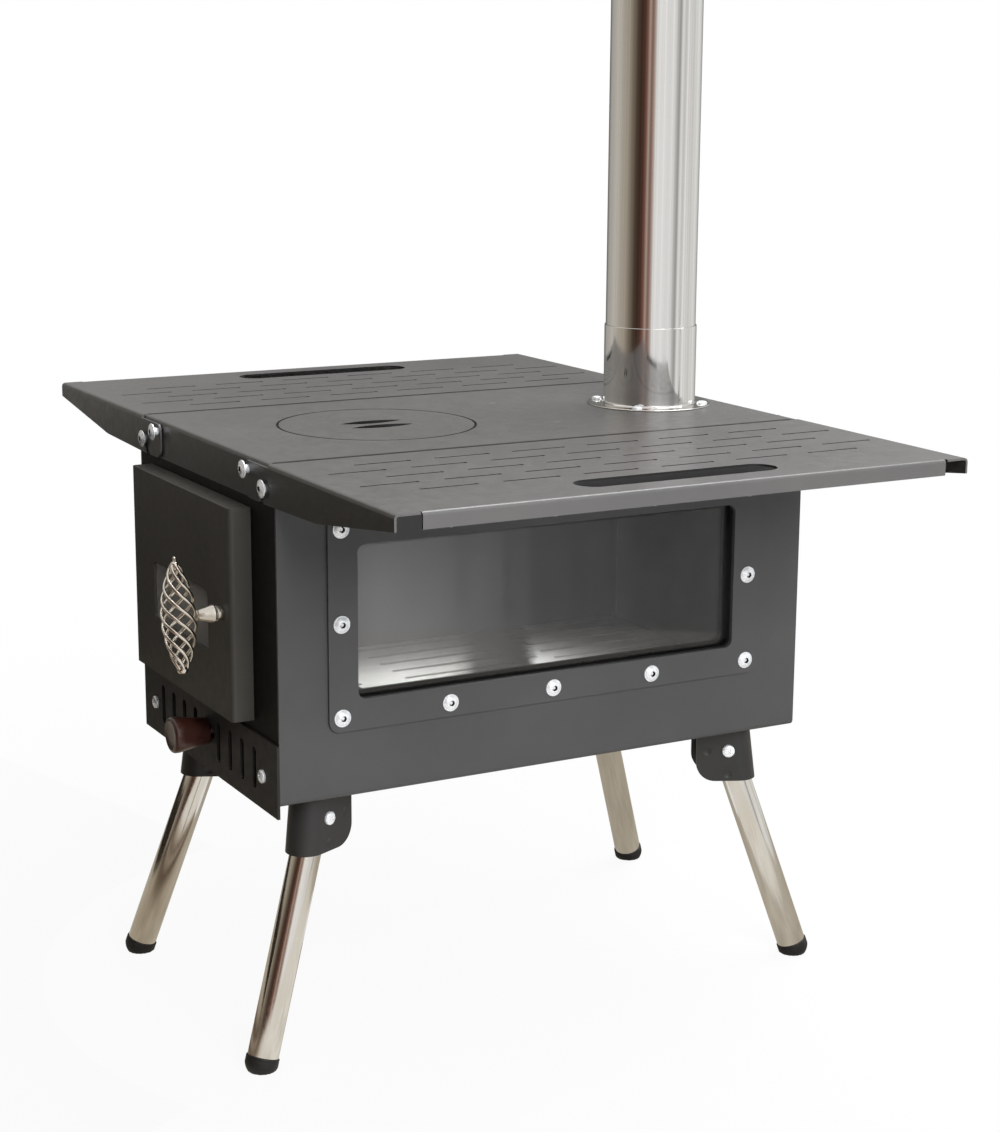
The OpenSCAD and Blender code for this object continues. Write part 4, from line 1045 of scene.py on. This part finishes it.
@dataclass
class LatchHandle:
    """The wire cage, its turned boss and the latch that they turn."""

    axis_x: float = 71.3
    axis_z: float = STAND_H + 126.5
    lean_deg: float = 9.0
    cage_y: float = -260.95
    wires: int = 6
    twist_deg: float = -430.0
    end_r: float = 2.3
    belly_r: float = 11.6
    belly_power: float = 0.8
    wire_l: float = 72.0
    wire_w: float = 2.5
    wire_t: float = 1.9
    cage_h: float = 77.0
    ferrule_h: float = 6.0
    ferrule_r: tuple[float, float] = (3.8, 3.0)
    ferrule_edge_r: float = 1.0
    ferrule_round: float = 2.4
    eye_r: float = 1.7
    eye_w: float = 1.3
    eye_sunk: float = 0.6
    boss_start: float = DOOR_FACE_Y - 0.3
    neck_r: float = 5.2
    neck_h: float = 4.2
    groove_r: float = 4.3
    groove_h: tuple[float, float] = (4.3, 4.9)
    rim: tuple[float, float] = (5.0, 5.0)
    belly: tuple[float, float] = (6.1, 6.6)
    cone: tuple[tuple[float, float], ...] = ((5.9, 9.0), (4.9, 12.5), (3.9, 16.0), (3.15, 17.5))
    bead: tuple[float, float] = (2.9, 18.2)
    bead_r: float = 0.6
    boss_edge_r: float = 0.4
    tip_r: float = 2.6
    boss_h: float = 19.0

    def lean(self, grid: np.ndarray) -> np.ndarray:
        """Leans points about the latch axis and puts them on the door."""
        x, z = turn_pair(grid[..., 0], grid[..., 2], self.lean_deg)
        return np.stack([self.axis_x + x, grid[..., 1], self.axis_z + z], axis=-1)

    def build(self) -> None:
        """Builds the cage and boss and dresses the latch."""
        self.build_cage()
        self.build_boss()
        dress(SCREW_STEEL, "latch_shaft", "latch_nut")
        dress(INNER_STEEL, "latch_tongue")

    def build_cage(self) -> None:
        """Builds the cage: the wires, a ferrule at each end and the eye on top."""
        piece = Piece("handle_wire_cage", "latch", "polished_steel", ("handle_cage",))
        for k in range(self.wires):
            piece.add(self.lean(self.wire(360 * k / self.wires)), loop_columns=True)
        for s, wide in zip((-1, 1), self.ferrule_r):
            ferrule = self.ferrule(wide) * [1, 1, s] + [0, self.cage_y, 0]
            piece.add(self.lean(ferrule), loop_columns=True)
        piece.add(self.lean(self.eye()), loop_rows=True, loop_columns=True)
        piece.finish(WIRE_STEEL, crease_deg=50)

    def wire(self, start_deg: float) -> np.ndarray:
        """Winds a wire.

        Args:
            start_deg: the angle from the first wire.

        Returns:
            Its grid, an oval section whose radius from the axis is end_r plus the rest times a
            power of the sine of the height share, turned by the twist times that share less a
            half.
        """
        t = np.linspace(0, 1, 97)
        r = self.end_r + (self.belly_r - self.end_r) * np.sin(math.pi * t) ** self.belly_power
        a = np.radians(90 + start_deg + self.twist_deg * (t - 0.5))
        out = np.stack([np.cos(a), np.sin(a), np.zeros_like(t)], axis=1)
        path = out * r[:, None]
        path[:, 2] = (t - 0.5) * self.wire_l
        ring = full_turn(12)
        section = np.tile(oval(self.wire_w / 2, self.wire_t / 2, ring), (len(t), 1, 1))
        ends = [np.repeat(path[k, None, None], len(ring), 1) for k in (0, -1)]
        tube = np.concatenate([ends[0], sweep(path, section, out), ends[1]])
        return tube + [0, self.cage_y, 0]

    def ferrule(self, wide: float) -> np.ndarray:
        """Turns a ferrule: a flat base with a small edge, a wall of radius wide, a round end."""
        tip, base = self.cage_h / 2, self.cage_h / 2 - self.ferrule_h
        edge, end = self.ferrule_edge_r, self.ferrule_round
        cap = np.concatenate(
            [
                [(0, base)],
                arc((wide - edge, base + edge), edge, -90, 0, 5),
                arc((wide - end, tip - end), end, 0, 90, 8),
                [(0, tip)],
            ]
        )
        return lathe(np.maximum(cap, [0, base]), full_turn(32))

    def eye(self) -> np.ndarray:
        """Bends the eye on top of the cage: a round wire in a ring."""
        round_eye = full_turn(32)
        ring = self.eye_r * np.stack([np.cos(round_eye), 0 * round_eye, np.sin(round_eye)], axis=1)
        wire = np.tile(oval(self.eye_w / 2, self.eye_w / 2, full_turn(12)), (len(ring), 1, 1))
        top = self.cage_h / 2 + self.eye_r - self.eye_sunk
        return sweep_loop(ring, wire, (0.0, 1.0, 0.0)) + [0, self.cage_y, top]

    def build_boss(self) -> None:
        """Turns the boss: a neck, a groove, a belly and a long cone with a bead at its tip."""
        edge, middle = self.boss_edge_r, self.neck_r - self.boss_edge_r
        profile = np.concatenate(
            [
                [(0, 0), (middle, 0)],
                arc((middle, edge), edge, -90, 0, 4),
                arc((middle, self.neck_h - edge), edge, 0, 90, 4),
                [(self.groove_r, z) for z in self.groove_h],
                [self.rim],
                arc(self.belly, self.bead_r, -40, 10, 6),
                self.cone,
                arc(self.bead, self.bead_r, -40, 70, 6),
                [(self.tip_r, self.boss_h), (0, self.boss_h)],
            ]
        )
        grid = lathe(profile, full_turn(64))
        turned = [grid[..., 0], self.boss_start - grid[..., 2], grid[..., 1]]
        piece = Piece("handle_turned_boss", "latch", "polished_steel", ("handle_boss",))
        piece.add(self.lean(np.stack(turned, axis=-1)), loop_columns=True)
        piece.finish(BOSS_STEEL, crease_deg=28)


@dataclass
class AirInlet:
    """The vent panel with its slide, its turned wooden knob and its screws."""

    knob_z: float = STAND_H + 21
    knob_y: float = -215.6
    knob_l: float = 27.5
    back_r: float = 10.0
    back_edge_r: float = 0.8
    flare_power: float = 1.4
    rim_w: float = 3.0
    face_r: float = 13.2
    edge_r: float = 2.6
    dish: tuple[tuple[float, float], ...] = ((9.8, 0.25), (9.0, 0.5), (4.0, 0.7), (0.0, 0.7))
    screw_x: float = 104.0
    screw_y: float = -215.0
    screw_z: float = STAND_H + 16.0
    shank_l: float = 4.0

    def build(self) -> None:
        """Dresses the inlet's nodes, turns the knob and sets the screws."""
        dress(VENT_SHADE_PAINT, "vent_panel")
        dress(SCREW_STEEL, "air_stem")
        dress(INNER_STEEL, "air_damper")
        self.turn_knob()
        piece = Piece("vent_cross_screws", "stove", "screw_steel", ("vent_screws",))
        screw = CrossScrew(self.shank_l)
        for k, s in enumerate((-1, 1)):
            ahead = look_along(screw.grid(SCREW_TURN * k), (0, -1, 0))
            piece.add(ahead + [s * self.screw_x, self.screw_y, self.screw_z], loop_columns=True)
        piece.finish(SCREW_STEEL)

    def turn_knob(self) -> None:
        """Turns the knob: a body that flares with a power of its length share to a face with a
        round edge and a shallow dish."""
        body = np.linspace(0, 1, 14)[1:]
        flare = self.back_r + (self.face_r - self.back_r) * body**self.flare_power
        back, length = self.back_edge_r, self.knob_l - self.edge_r
        profile = np.concatenate(
            [
                [(0, 0), (self.back_r - back, 0)],
                arc((self.back_r - back, back), back, -90, 0, 5),
                np.stack([flare, back + (length - self.rim_w - back) * body], axis=1),
                arc((self.face_r - self.edge_r, length), self.edge_r, 0, 90, 10),
                [(r, self.knob_l - depth) for r, depth in self.dish],
            ]
        )
        grid = lathe(profile, full_turn(72))
        turned = [grid[..., 0], self.knob_y - grid[..., 2], self.knob_z + grid[..., 1]]
        piece = Piece("air_turned_knob", "damper", "knob_wood", ("air_knob",))
        piece.add(np.stack(turned, axis=-1), loop_columns=True)
        piece.finish(WOOD)


@dataclass(frozen=True)
class ShelfScrews:
    """One kind of shelf screw: the CAD node that it replaces, its distance from the middle, its
    drop below the top, the seats of the front and rear screws and the front screws' shank."""

    node: str
    x: float
    drop: float
    front_y: float
    rear_y: float
    shank_l: float


@dataclass
class Shelves:
    """The two folding side shelves and the screws that they turn on and stop against."""

    pivots: ShelfScrews = ShelfScrews("shelf_pivot_screws", 87.1, 8.2, -218.9, 222.9, 11.9)
    stops: ShelfScrews = ShelfScrews("shelf_stop_screws", 114.7, 17.3, -216.9, 220.9, 9.9)
    rear_extra: float = 2.0
    dome_h: float = 1.4

    def build(self) -> None:
        """Dresses the shelves and the nuts and sets the screws."""
        dress(TOP_LIT_PAINT, "shelf_near", "shelf_far")
        dress(SCREW_STEEL, "shelf_screw_nuts")
        self.set_screws(self.pivots)
        self.set_screws(self.stops)

    def set_screws(self, row: ShelfScrews) -> None:
        """Sets a screw on each side at the front and, with a longer shank, at the rear.

        Args:
            row: the kind of screw and its places.
        """
        name = row.node.replace("screws", "button_screws")
        piece = Piece(name, "stove", "screw_steel", (row.node,))
        ends = (-1, row.front_y, row.shank_l), (1, row.rear_y, row.shank_l + self.rear_extra)
        for k, s in enumerate((-1, 1)):
            for ahead, y, shank_l in ends:
                screw = ButtonScrew(shank_l, dome_h=self.dome_h)
                seat = s * row.x, y, TOP_Z - row.drop
                screw.add_to(piece, SCREW_TURN * (2 * k + ahead), (0, ahead, 0), seat)
        piece.finish(SCREW_STEEL, second=SOCKET_SHADE_STEEL)


@dataclass
class Flue:
    """The flanged collar, its screws and the pipe section that stands in it."""

    middle_y: float = 160.5
    pipe_r: float = 35.0
    pipe_t: float = 0.6
    pipe_l: float = 322.0
    collar_r: float = 35.08
    collar_t: float = 0.8
    collar_h: float = 62.0
    rim_w: float = 1.2
    flange_r: float = 48.5
    flange_t: float = 1.3
    flange_edge_r: float = 0.6
    flange_slope: float = 2.5
    fillet_r: float = 1.6
    steps: int = 160
    seam_deg: float = 7.7
    seam_rise: float = 0.22
    seam_reach: float = 0.016
    seam_fine: float = 0.06
    screw_count: int = 4
    screw_start_deg: float = 45.0
    screw_r: float = 42.2
    screw: CrossScrew = CrossScrew(3.5, 2.0, head_r=4.0, head_h=2.4)

    def build(self) -> None:
        """Builds the pipe, collar and screws."""
        self.roll_pipe()
        self.spin_collar()
        self.set_screws()

    def angles(self) -> np.ndarray:
        """Gives angles round the flue, closer together beside the weld."""
        beside = np.linspace(-self.seam_fine, self.seam_fine, 17)
        fine = (math.radians(self.seam_deg) + beside) % (2 * math.pi)
        return np.unique(np.concatenate([full_turn(self.steps), fine]).round(9))

    def welded(self, profile: np.ndarray, outside: np.ndarray) -> np.ndarray:
        """Turns a profile about the flue's axis and raises its outside along the weld.

        Args:
            profile: radius and height of each point.
            outside: one where the weld shows and nought elsewhere, for each point.

        Returns:
            The grid; the weld's rise falls off as a bell curve of the angle from it.
        """
        a = self.angles()
        off = (a - math.radians(self.seam_deg) + math.pi) % (2 * math.pi) - math.pi
        rise = self.seam_rise * np.exp(-((off / self.seam_reach) ** 2))
        grid = spin(profile[:, :1] + outside[:, None] * rise, profile[:, 1:], a)
        return grid + [0, self.middle_y, TOP_Z]

    def roll_pipe(self) -> None:
        """Rolls the pipe: an outer wall, a rounded lip at each end and an inner wall. The weld
        shows on the outer wall above the collar."""
        r, t, lip = self.pipe_r, self.pipe_t, self.pipe_t / 2
        heights = np.linspace(lip, self.pipe_l - lip, 24)
        outer = np.stack([np.full(len(heights), r), heights], axis=1)
        top = arc((r - lip, self.pipe_l - lip), lip, 15, 165, 6)
        inner = np.stack([np.full(len(heights), r - t), heights[::-1]], axis=1)
        base = arc((r - lip, lip), lip, 195, 345, 6)
        profile = np.concatenate([outer, top, inner, base])
        shows = np.zeros(len(profile))
        shows[: len(heights)] = heights > self.collar_h + 1
        piece = Piece("flue_rolled_pipe", "pipe", "polished_steel", ("flue_pipe",))
        piece.add(self.welded(profile, shows), loop_rows=True, loop_columns=True)
        piece.finish(PIPE_STEEL, crease_deg=50)

    def spin_collar(self) -> None:
        """Spins the collar: a flange with a round edge, a small fillet, a wall, on which the
        weld shows, and a rolled rim."""
        r, t, h = self.collar_r, self.collar_t, self.collar_h
        out, edge, fillet = r + t, self.flange_edge_r, self.fillet_r
        foot = np.concatenate(
            [
                [(r, 0)],
                arc((self.flange_r - edge, edge), edge, -90, 60, 7),
                [(self.flange_r - self.flange_slope, self.flange_t), (out + fillet, self.flange_t)],
                arc((out + fillet, self.flange_t + fillet), fillet, 270, 180, 7)[1:-1],
            ]
        )
        heights = np.linspace(self.flange_t + fillet, h - self.rim_w, 12)
        wall = np.stack([np.full(len(heights), out), heights], axis=1)
        rim = arc((out - t / 2, h - t / 2), t / 2, 0, 180, 8)
        shows = [np.zeros(len(foot)), np.ones(len(wall)), np.zeros(len(rim))]
        grid = self.welded(np.concatenate([foot, wall, rim]), np.concatenate(shows))
        piece = Piece("flue_spun_collar", "stove", "polished_steel", ("flue_collar",))
        piece.add(grid, loop_rows=True, loop_columns=True)
        piece.finish(PIPE_STEEL, crease_deg=40)

    def set_screws(self) -> None:
        """Sets the flange's pan-head screws, evenly round it."""
        piece = Piece("flue_cross_screws", "stove", "screw_steel", ("flue_screws",))
        for k in range(self.screw_count):
            turn = math.radians(self.screw_start_deg + 360 * k / self.screw_count)
            x, y = self.screw_r * math.cos(turn), self.screw_r * math.sin(turn)
            seat = [x, self.middle_y + y, TOP_Z + self.flange_t]
            piece.add(self.screw.grid(SCREW_TURN * k) + seat, loop_columns=True)
        piece.finish(SCREW_STEEL)


@dataclass
class Legs:
    """The four folding legs: bright tubes in painted brackets, with rubber feet.

    Each leg is drawn for the near rear corner, in a frame that is turned towards the corner
    with its origin on the pivot, and mirrored to the others.
    """

    pivot: Triple = (97.9, 174.6, 171.4)
    turn_deg: float = -25.3
    splay_deg: float = 19.4
    reach: float = 181.7
    tube_r: float = 11.1
    tube_t: float = 1.2
    tube_over: float = 10.0
    tube_short: float = 6.0
    cap_r: float = 11.9
    cap_lap: float = 10.0
    cap_edge_r: float = 0.6
    ring_drops: tuple[float, float, float, float] = (1.4, 1.6, 2.0, 2.2)
    ring_depth: float = 0.2
    foot_r: float = 12.2
    foot_up: float = 7.0
    screw_seat: float = 14.3
    screw_l: float = 32.6

    def build(self) -> None:
        """Dresses the brackets and nuts, and builds the tubes, feet and pivot screws."""
        dress(LEG_PAINT, "leg_brackets")
        dress(SCREW_STEEL, "leg_nuts")
        screws = Piece("leg_pivot_cross_screws", "stove", "screw_steel", ("leg_screws",))
        screw = CrossScrew(self.screw_l)
        corners = product((("near", 1), ("far", -1)), (("front", -1), ("rear", 1)))
        for k, ((side, sx), (end, sy)) in enumerate(corners):
            self.build_leg(side, end, sx, sy)
            seated = look_along(screw.grid(SCREW_TURN * k), (1, 0, 0)) + [self.screw_seat, 0, 0]
            screws.add(self.at_corner(seated, sx, sy), loop_columns=True)
        screws.finish(SCREW_STEEL)

    def build_leg(self, side: str, end: str, sx: int, sy: int) -> None:
        """Builds one leg's tube and its foot, which stands flat on the floor.

        Args:
            side: near or far.
            end: front or rear.
            sx: the sign of the corner's X.
            sy: the sign of the corner's Y.
        """
        leg = f"{side}_{end}_leg"
        tube = Piece(f"{leg}_drawn_tube", leg, "polished_steel", (f"leg_tube_{side}_{end}",))
        tube.add(self.at_corner(self.splay(self.tube()), sx, sy), True, True)
        tube.finish(LEG_STEEL, crease_deg=50)
        foot = Piece(f"{leg}_rubber_foot", leg, "rubber", (f"foot_cap_{side}_{end}",))
        solid = self.at_corner(self.splay(self.foot()), sx, sy)
        solid[..., 2] = np.maximum(solid[..., 2], 0)
        foot.add(solid, True, True)
        foot.finish(RUBBER)

    def splay(self, grid: np.ndarray) -> np.ndarray:
        """Leans a grid's -Z outwards by the splay."""
        y, z = turn_pair(grid[..., 1], grid[..., 2], self.splay_deg)
        return np.stack([grid[..., 0], y, z], axis=-1)

    def at_corner(self, grid: np.ndarray, sx: int, sy: int) -> np.ndarray:
        """Turns a grid towards the corner, moves it to the pivot and mirrors it by the signs."""
        x, y = turn_pair(grid[..., 0], grid[..., 1], self.turn_deg)
        return (np.stack([x, y, grid[..., 2]], axis=-1) + self.pivot) * [sx, sy, 1]

    def tube(self) -> np.ndarray:
        """Draws the tube: an outer wall, a rounded lip at each end and an inner wall."""
        low, high = self.tube_short - self.reach, self.tube_over
        r, lip = self.tube_r, self.tube_t / 2
        ends = [
            arc((r - lip, high - lip), lip, 0, 180, 7),
            arc((r - lip, low + lip), lip, 180, 360, 7),
        ]
        return lathe(np.concatenate(ends), full_turn(72))

    def foot(self) -> np.ndarray:
        """Moulds the foot: a cup round the tube with a soft rim, a shallow ring and a domed
        sole, hollow inside up to the tube's end."""
        end = -self.reach
        top, tube_end = end + self.cap_lap, end + self.tube_short
        r, bore, edge = self.cap_r, self.tube_r, self.cap_edge_r
        start = math.degrees(math.acos(r / self.foot_r))
        depths = 0, self.ring_depth, self.ring_depth, 0
        profile = np.concatenate(
            [
                [(0, tube_end), (bore, tube_end), (bore, top)],
                arc((r - edge, top - edge), edge, 90, 0, 5),
                [(r - depth, top - drop) for depth, drop in zip(depths, self.ring_drops)],
                arc((0, end + self.foot_up), self.foot_r, -start, -90, 14),
            ]
        )
        return lathe(profile, full_turn(72))


@dataclass
class PhotoCamera:
    """The camera that took the photograph, solved from the object's own edges."""

    place: Triple = (1469.2, -782.9, 686.5)
    azimuth_deg: float = 61.11
    elevation_deg: float = 12.658
    roll_deg: float = 0.367
    focal_px: float = 2235.44
    sensor_mm: float = 36.0
    clip_m: tuple[float, float] = (0.05, 50)

    def build(self) -> None:
        """Makes the camera and gives it to the scene."""
        angles = self.azimuth_deg, self.elevation_deg, self.roll_deg
        az, el, roll = (math.radians(v) for v in angles)
        level = np.array([math.cos(az), math.sin(az), 0.0])
        ahead = np.array([-math.sin(az) * math.cos(el), math.cos(az) * math.cos(el), -math.sin(el)])
        upright = np.cross(level, ahead)
        right = level * math.cos(roll) + upright * math.sin(roll)
        up = upright * math.cos(roll) - level * math.sin(roll)
        data = bpy.data.cameras.new("photo_camera")
        data.sensor_fit, data.sensor_width = "HORIZONTAL", self.sensor_mm
        data.lens = self.focal_px * self.sensor_mm / IMAGE_W
        data.clip_start, data.clip_end = self.clip_m
        obj = bpy.data.objects.new("photo_camera", data)
        turn = Matrix(np.stack([right, up, -ahead], axis=1).tolist()).to_4x4()
        obj.matrix_world = Matrix.Translation([v * MM for v in self.place]) @ turn
        bpy.context.scene.collection.objects.link(obj)
        bpy.context.scene.camera = obj


def stage_mesh(name: str, grid: np.ndarray, material: bpy.types.Material) -> bpy.types.Object:
    """Makes a stage object, which is no part of the stove.

    Args:
        name: the object's name.
        grid: points in metres, rows by columns by three.
        material: its material.

    Returns:
        The object.
    """
    quads = weave(*grid.shape[:2], False, False)
    mesh = bpy.data.meshes.new(name)
    mesh.from_pydata(grid.reshape(-1, 3).tolist(), [], quads.tolist())
    mesh.materials.append(material)
    obj = bpy.data.objects.new(name, mesh)
    bpy.context.scene.collection.objects.link(obj)
    return obj


def seen_rays(tree: bpy.types.NodeTree) -> Socket:
    """Tells the rays that should see white from those that light the stove.

    Args:
        tree: the node tree.

    Returns:
        One for rays from the eye, off shiny surfaces and through glass, else nought.
    """
    path = add_node(tree, "LightPath").outputs
    seen = path["Is Camera Ray"]
    for other in ("Is Glossy Ray", "Is Transmission Ray"):
        either = {0: seen, 1: path[other]}
        seen = add_node(tree, "Math", {"operation": "MAXIMUM"}, either).outputs[0]
    return seen


class Sight(Enum):
    """Which rays see a card: those off shiny things, or those that light matt things."""

    GLOSSY = "visible_glossy"
    DIFFUSE = "visible_diffuse"


@dataclass(frozen=True)
class Card:
    """A card round the stove that the eye does not see: its span, heights and colours.

    It is part of a cylinder wall from low to high, or, where flat, part of a ring on the floor
    from radius low to high, lifted a little off it. Its colours are stops of an angle in degrees
    and a hex code, folds is how far its folds darken it, and shade tints all of it.
    """

    name: str
    start_deg: float
    end_deg: float
    low: float
    high: float
    stops: Stops
    flat: bool = False
    sight: Sight = Sight.GLOSSY
    radius: float = 1250.0
    lift: float = 0.6
    folds: float = 0.0
    fold_mm: float = 38.0
    shade: str = "#ffffff"

    def material(self) -> bpy.types.Material:
        """Builds the card's glow: the colours by the angle share, times the folds and shade."""
        s = Surface(self.name, {"Strength": 1.0}, "Emission")
        share = add_node(s.tree, "Attribute", {"attribute_name": "turn_share"}).outputs["Fac"]
        ramp = add_node(s.tree, "ValToRGB", links={0: share})
        set_stops(ramp.color_ramp, tuple(((deg + 180) / 360, code) for deg, code in self.stops))
        waves = s.speckle(self.fold_mm, (1, 1, 90), 4)
        folds = s.spread(waves, 1 - self.folds, 1 + self.folds / 2)
        grey = add_node(s.tree, "CombineColor", links={0: folds, 1: folds, 2: folds}).outputs[0]
        times = {"data_type": "RGBA", "blend_type": "MULTIPLY", 0: 1.0}
        folded = add_node(s.tree, "Mix", times, {6: ramp.outputs[0], 7: grey}).outputs[2]
        shaded = add_node(s.tree, "Mix", {**times, 7: linear(self.shade)}, {6: folded})
        s.feed(Color=shaded.outputs[2])
        return s.material

    def hang(self) -> None:
        """Hangs the card, or lays it, for the rays that see it."""
        turn = np.linspace(self.start_deg, self.end_deg, 181)
        ends = np.array([self.low, self.high])[:, None]
        r, z = (ends, self.lift) if self.flat else (self.radius, ends)
        obj = stage_mesh(self.name, spin(r, z, np.radians(turn)) * MM, self.material())
        shares = obj.data.attributes.new("turn_share", "FLOAT", "POINT")
        shares.data.foreach_set("value", np.tile((turn + 180) / 360, len(ends)))
        for sight in Sight:
            setattr(obj, sight.value, sight is self.sight)
        obj.visible_camera = obj.visible_shadow = obj.visible_transmission = False


# What the steel mirrors, by the angle from +X. The eye is at -28. To its right the room is white
# with grey streaks, to its left brown with pink and dark streaks, and pale further round. The
# carpet goes the same way for what the steel mirrors from below.
ROOM = (
    (-180, "#b9b6b0"),
    (-150, "#cdc9c1"),
    (-124, "#bdb6aa"),
    (-104, "#b0a698"),
    (-88, "#857a6c"),
    (-76, "#5a4a3f"),
    (-66, "#46342b"),
    (-56, "#5a4036"),
    (-48, "#8d6258"),
    (-42, "#c4b3a8"),
    (-37, "#8a675b"),
    (-30, "#b39c91"),
    (-23, "#ffffff"),
    (23, "#ffffff"),
    (31, "#cacac9"),
    (36, "#b4b4b2"),
    (42, "#f6f6f5"),
    (60, "#fbfbfa"),
    (76, "#e2e2df"),
    (97, "#f6f6f4"),
    (115, "#cfcfcc"),
    (130, "#8a8a87"),
    (160, "#6e6c69"),
    (180, "#b9b6b0"),
)
CARPET = (
    (-180, "#c4c0b9"),
    (-150, "#cbc6bd"),
    (-122, "#c9c2b7"),
    (-104, "#bdb3a5"),
    (-93, "#86796c"),
    (-87, "#5c4c40"),
    (-81, "#b3a79b"),
    (-75, "#6a5a4e"),
    (-66, "#c9beb3"),
    (-58, "#ffffff"),
    (34, "#ffffff"),
    (46, "#d2cec7"),
    (97, "#c6c1b8"),
    (180, "#c4c0b9"),
)

# The dark strip low in the mirrored room, and the black flags that shade the door end
LOW_DARK = ((-170, "#2a241e"), (-80, "#2a241e"))
FLAG = ((-165, "#0c0b0a"), (-62, "#0c0b0a"))


@dataclass(frozen=True)
class Lamp:
    """A square soft lamp: where it hangs, the point that it faces and its sides, in metres."""

    name: str
    place: Triple
    aim: Triple
    size: float
    watts: float
    spread_deg: float = 180.0
    mirrored: bool = True

    def hang(self) -> None:
        """Hangs the lamp; one that is not mirrored shows in no eye and no shiny surface."""
        data = bpy.data.lights.new(self.name, "AREA")
        data.size, data.energy = self.size, self.watts
        data.spread = math.radians(self.spread_deg)
        obj = bpy.data.objects.new(self.name, data)
        back = Vector(self.place) - Vector(self.aim)
        turn = back.to_track_quat("Z", "Y").to_matrix().to_4x4()
        obj.matrix_world = Matrix.Translation(self.place) @ turn
        obj.visible_camera = obj.visible_glossy = self.mirrored
        bpy.context.scene.collection.objects.link(obj)


@dataclass
class Studio:
    """A white sweep with soft lamps, and the cards of a room that the polished steel reflects.

    The floor's glow is how much white the eye sees: its first two numbers are distances in
    metres and the others the shares there. The sky's first two numbers are directions along Y,
    from the door end to the flue end, and the others its strength from there.
    """

    floor_reach: float = 30.0
    floor_z: float = -0.0002
    glow: tuple[float, float, float, float] = (0.45, 1.3, 0.93, 1.0)
    sky: tuple[float, float, float, float] = (-0.8, 0.6, 0.15, 0.6)
    cards: tuple[Card, ...] = (
        Card("room_wall", -180, 180, 0, 1500, ROOM, folds=0.3),
        Card("room_carpet", -180, 180, 60, 1250, CARPET, True, folds=0.2, shade="#f2eee6"),
        Card("low_dark_wall", -170, -100, 0, 240, LOW_DARK, radius=1230.0),
        Card("low_dark_floor", -170, -80, 960, 1230, LOW_DARK, True, lift=0.9),
        Card("flag_front", -165, -62, 0, 1500, FLAG, sight=Sight.DIFFUSE),
        Card("flag_floor", -165, -62, 330, 1250, FLAG, True, Sight.DIFFUSE),
    )
    lamps: tuple[Lamp, ...] = (
        Lamp("key_lamp", (2.2, -0.15, 1.6), (0.0, 0.0, 0.3), 1.3, 60),
        Lamp("top_lamp", (-0.5, 0.9, 2.4), (0.0, 0.0, 0.4), 1.6, 52),
        Lamp("firebox_lamp", (0.02, -0.05, 0.414), (0.02, -0.05, 0.2), 0.12, 0.72, 84.0, False),
    )

    def build(self) -> None:
        """Lays the floor, hangs the cards and the lamps and sets the world."""
        self.lay_floor()
        for thing in (*self.cards, *self.lamps):
            thing.hang()
        self.set_world()
        bpy.context.scene.view_settings.view_transform = "Standard"

    def lay_floor(self) -> None:
        """Lays a pale floor that looks white to the eye, steel and glass and keeps shadows."""
        s = Surface("pale_floor", {"Color": linear("#d8d8d8")}, "BsdfDiffuse")
        white = add_node(s.tree, "Emission", {"Color": linear("#ffffff"), "Strength": 1.0})
        gone = add_node(s.tree, "VectorMath", {"operation": "LENGTH"}, {0: s.place})
        far = {"Value": gone.outputs["Value"]}
        glow = add_node(s.tree, "MapRange", dict(zip(RANGES, self.glow)), far).outputs[0]
        share = s.both(seen_rays(s.tree), glow)
        links = {0: share, 1: s.bsdf.outputs[0], 2: white.outputs[0]}
        mixed = add_node(s.tree, "MixShader", links=links)
        s.tree.links.new(mixed.outputs[0], s.out.inputs["Surface"])
        across = np.linspace(-self.floor_reach, self.floor_reach, 3)
        x, y = np.meshgrid(across, across)
        stage_mesh("floor", np.stack([x, y, np.full_like(x, self.floor_z)], axis=-1), s.material)

    def set_world(self) -> None:
        """Makes a white world for the eye, steel and glass, and a softer one that lights the
        stove, stronger from the flue end than from the door end."""
        world = bpy.data.worlds.new("studio")
        world.use_nodes = True
        tree = world.node_tree
        tree.nodes.clear()
        aim = add_node(tree, "TexCoord").outputs["Generated"]
        y = add_node(tree, "SeparateXYZ", links={0: aim}).outputs[1]
        level = add_node(tree, "MapRange", dict(zip(RANGES, self.sky)), {"Value": y}).outputs[0]
        white = {"Color": linear("#ffffff")}
        soft = add_node(tree, "Background", white, {"Strength": level}).outputs[0]
        full = add_node(tree, "Background", {**white, "Strength": 1.0}).outputs[0]
        mixed = add_node(tree, "MixShader", links={0: seen_rays(tree), 1: soft, 2: full})
        out = add_node(tree, "OutputWorld")
        tree.links.new(mixed.outputs[0], out.inputs["Surface"])
        bpy.context.scene.world = world


def main() -> None:
    """Builds the stove's sub-assemblies in order, then the camera and the studio."""
    logging.basicConfig(level=logging.INFO, format="%(message)s", stream=sys.stdout)
    for part in (
        Firebox(),
        SideWindow(),
        FuelDoor(),
        LatchHandle(),
        AirInlet(),
        Shelves(),
        Flue(),
        Legs(),
        PhotoCamera(),
        Studio(),
    ):
        part.build()


if __name__ == "__main__":
    main()
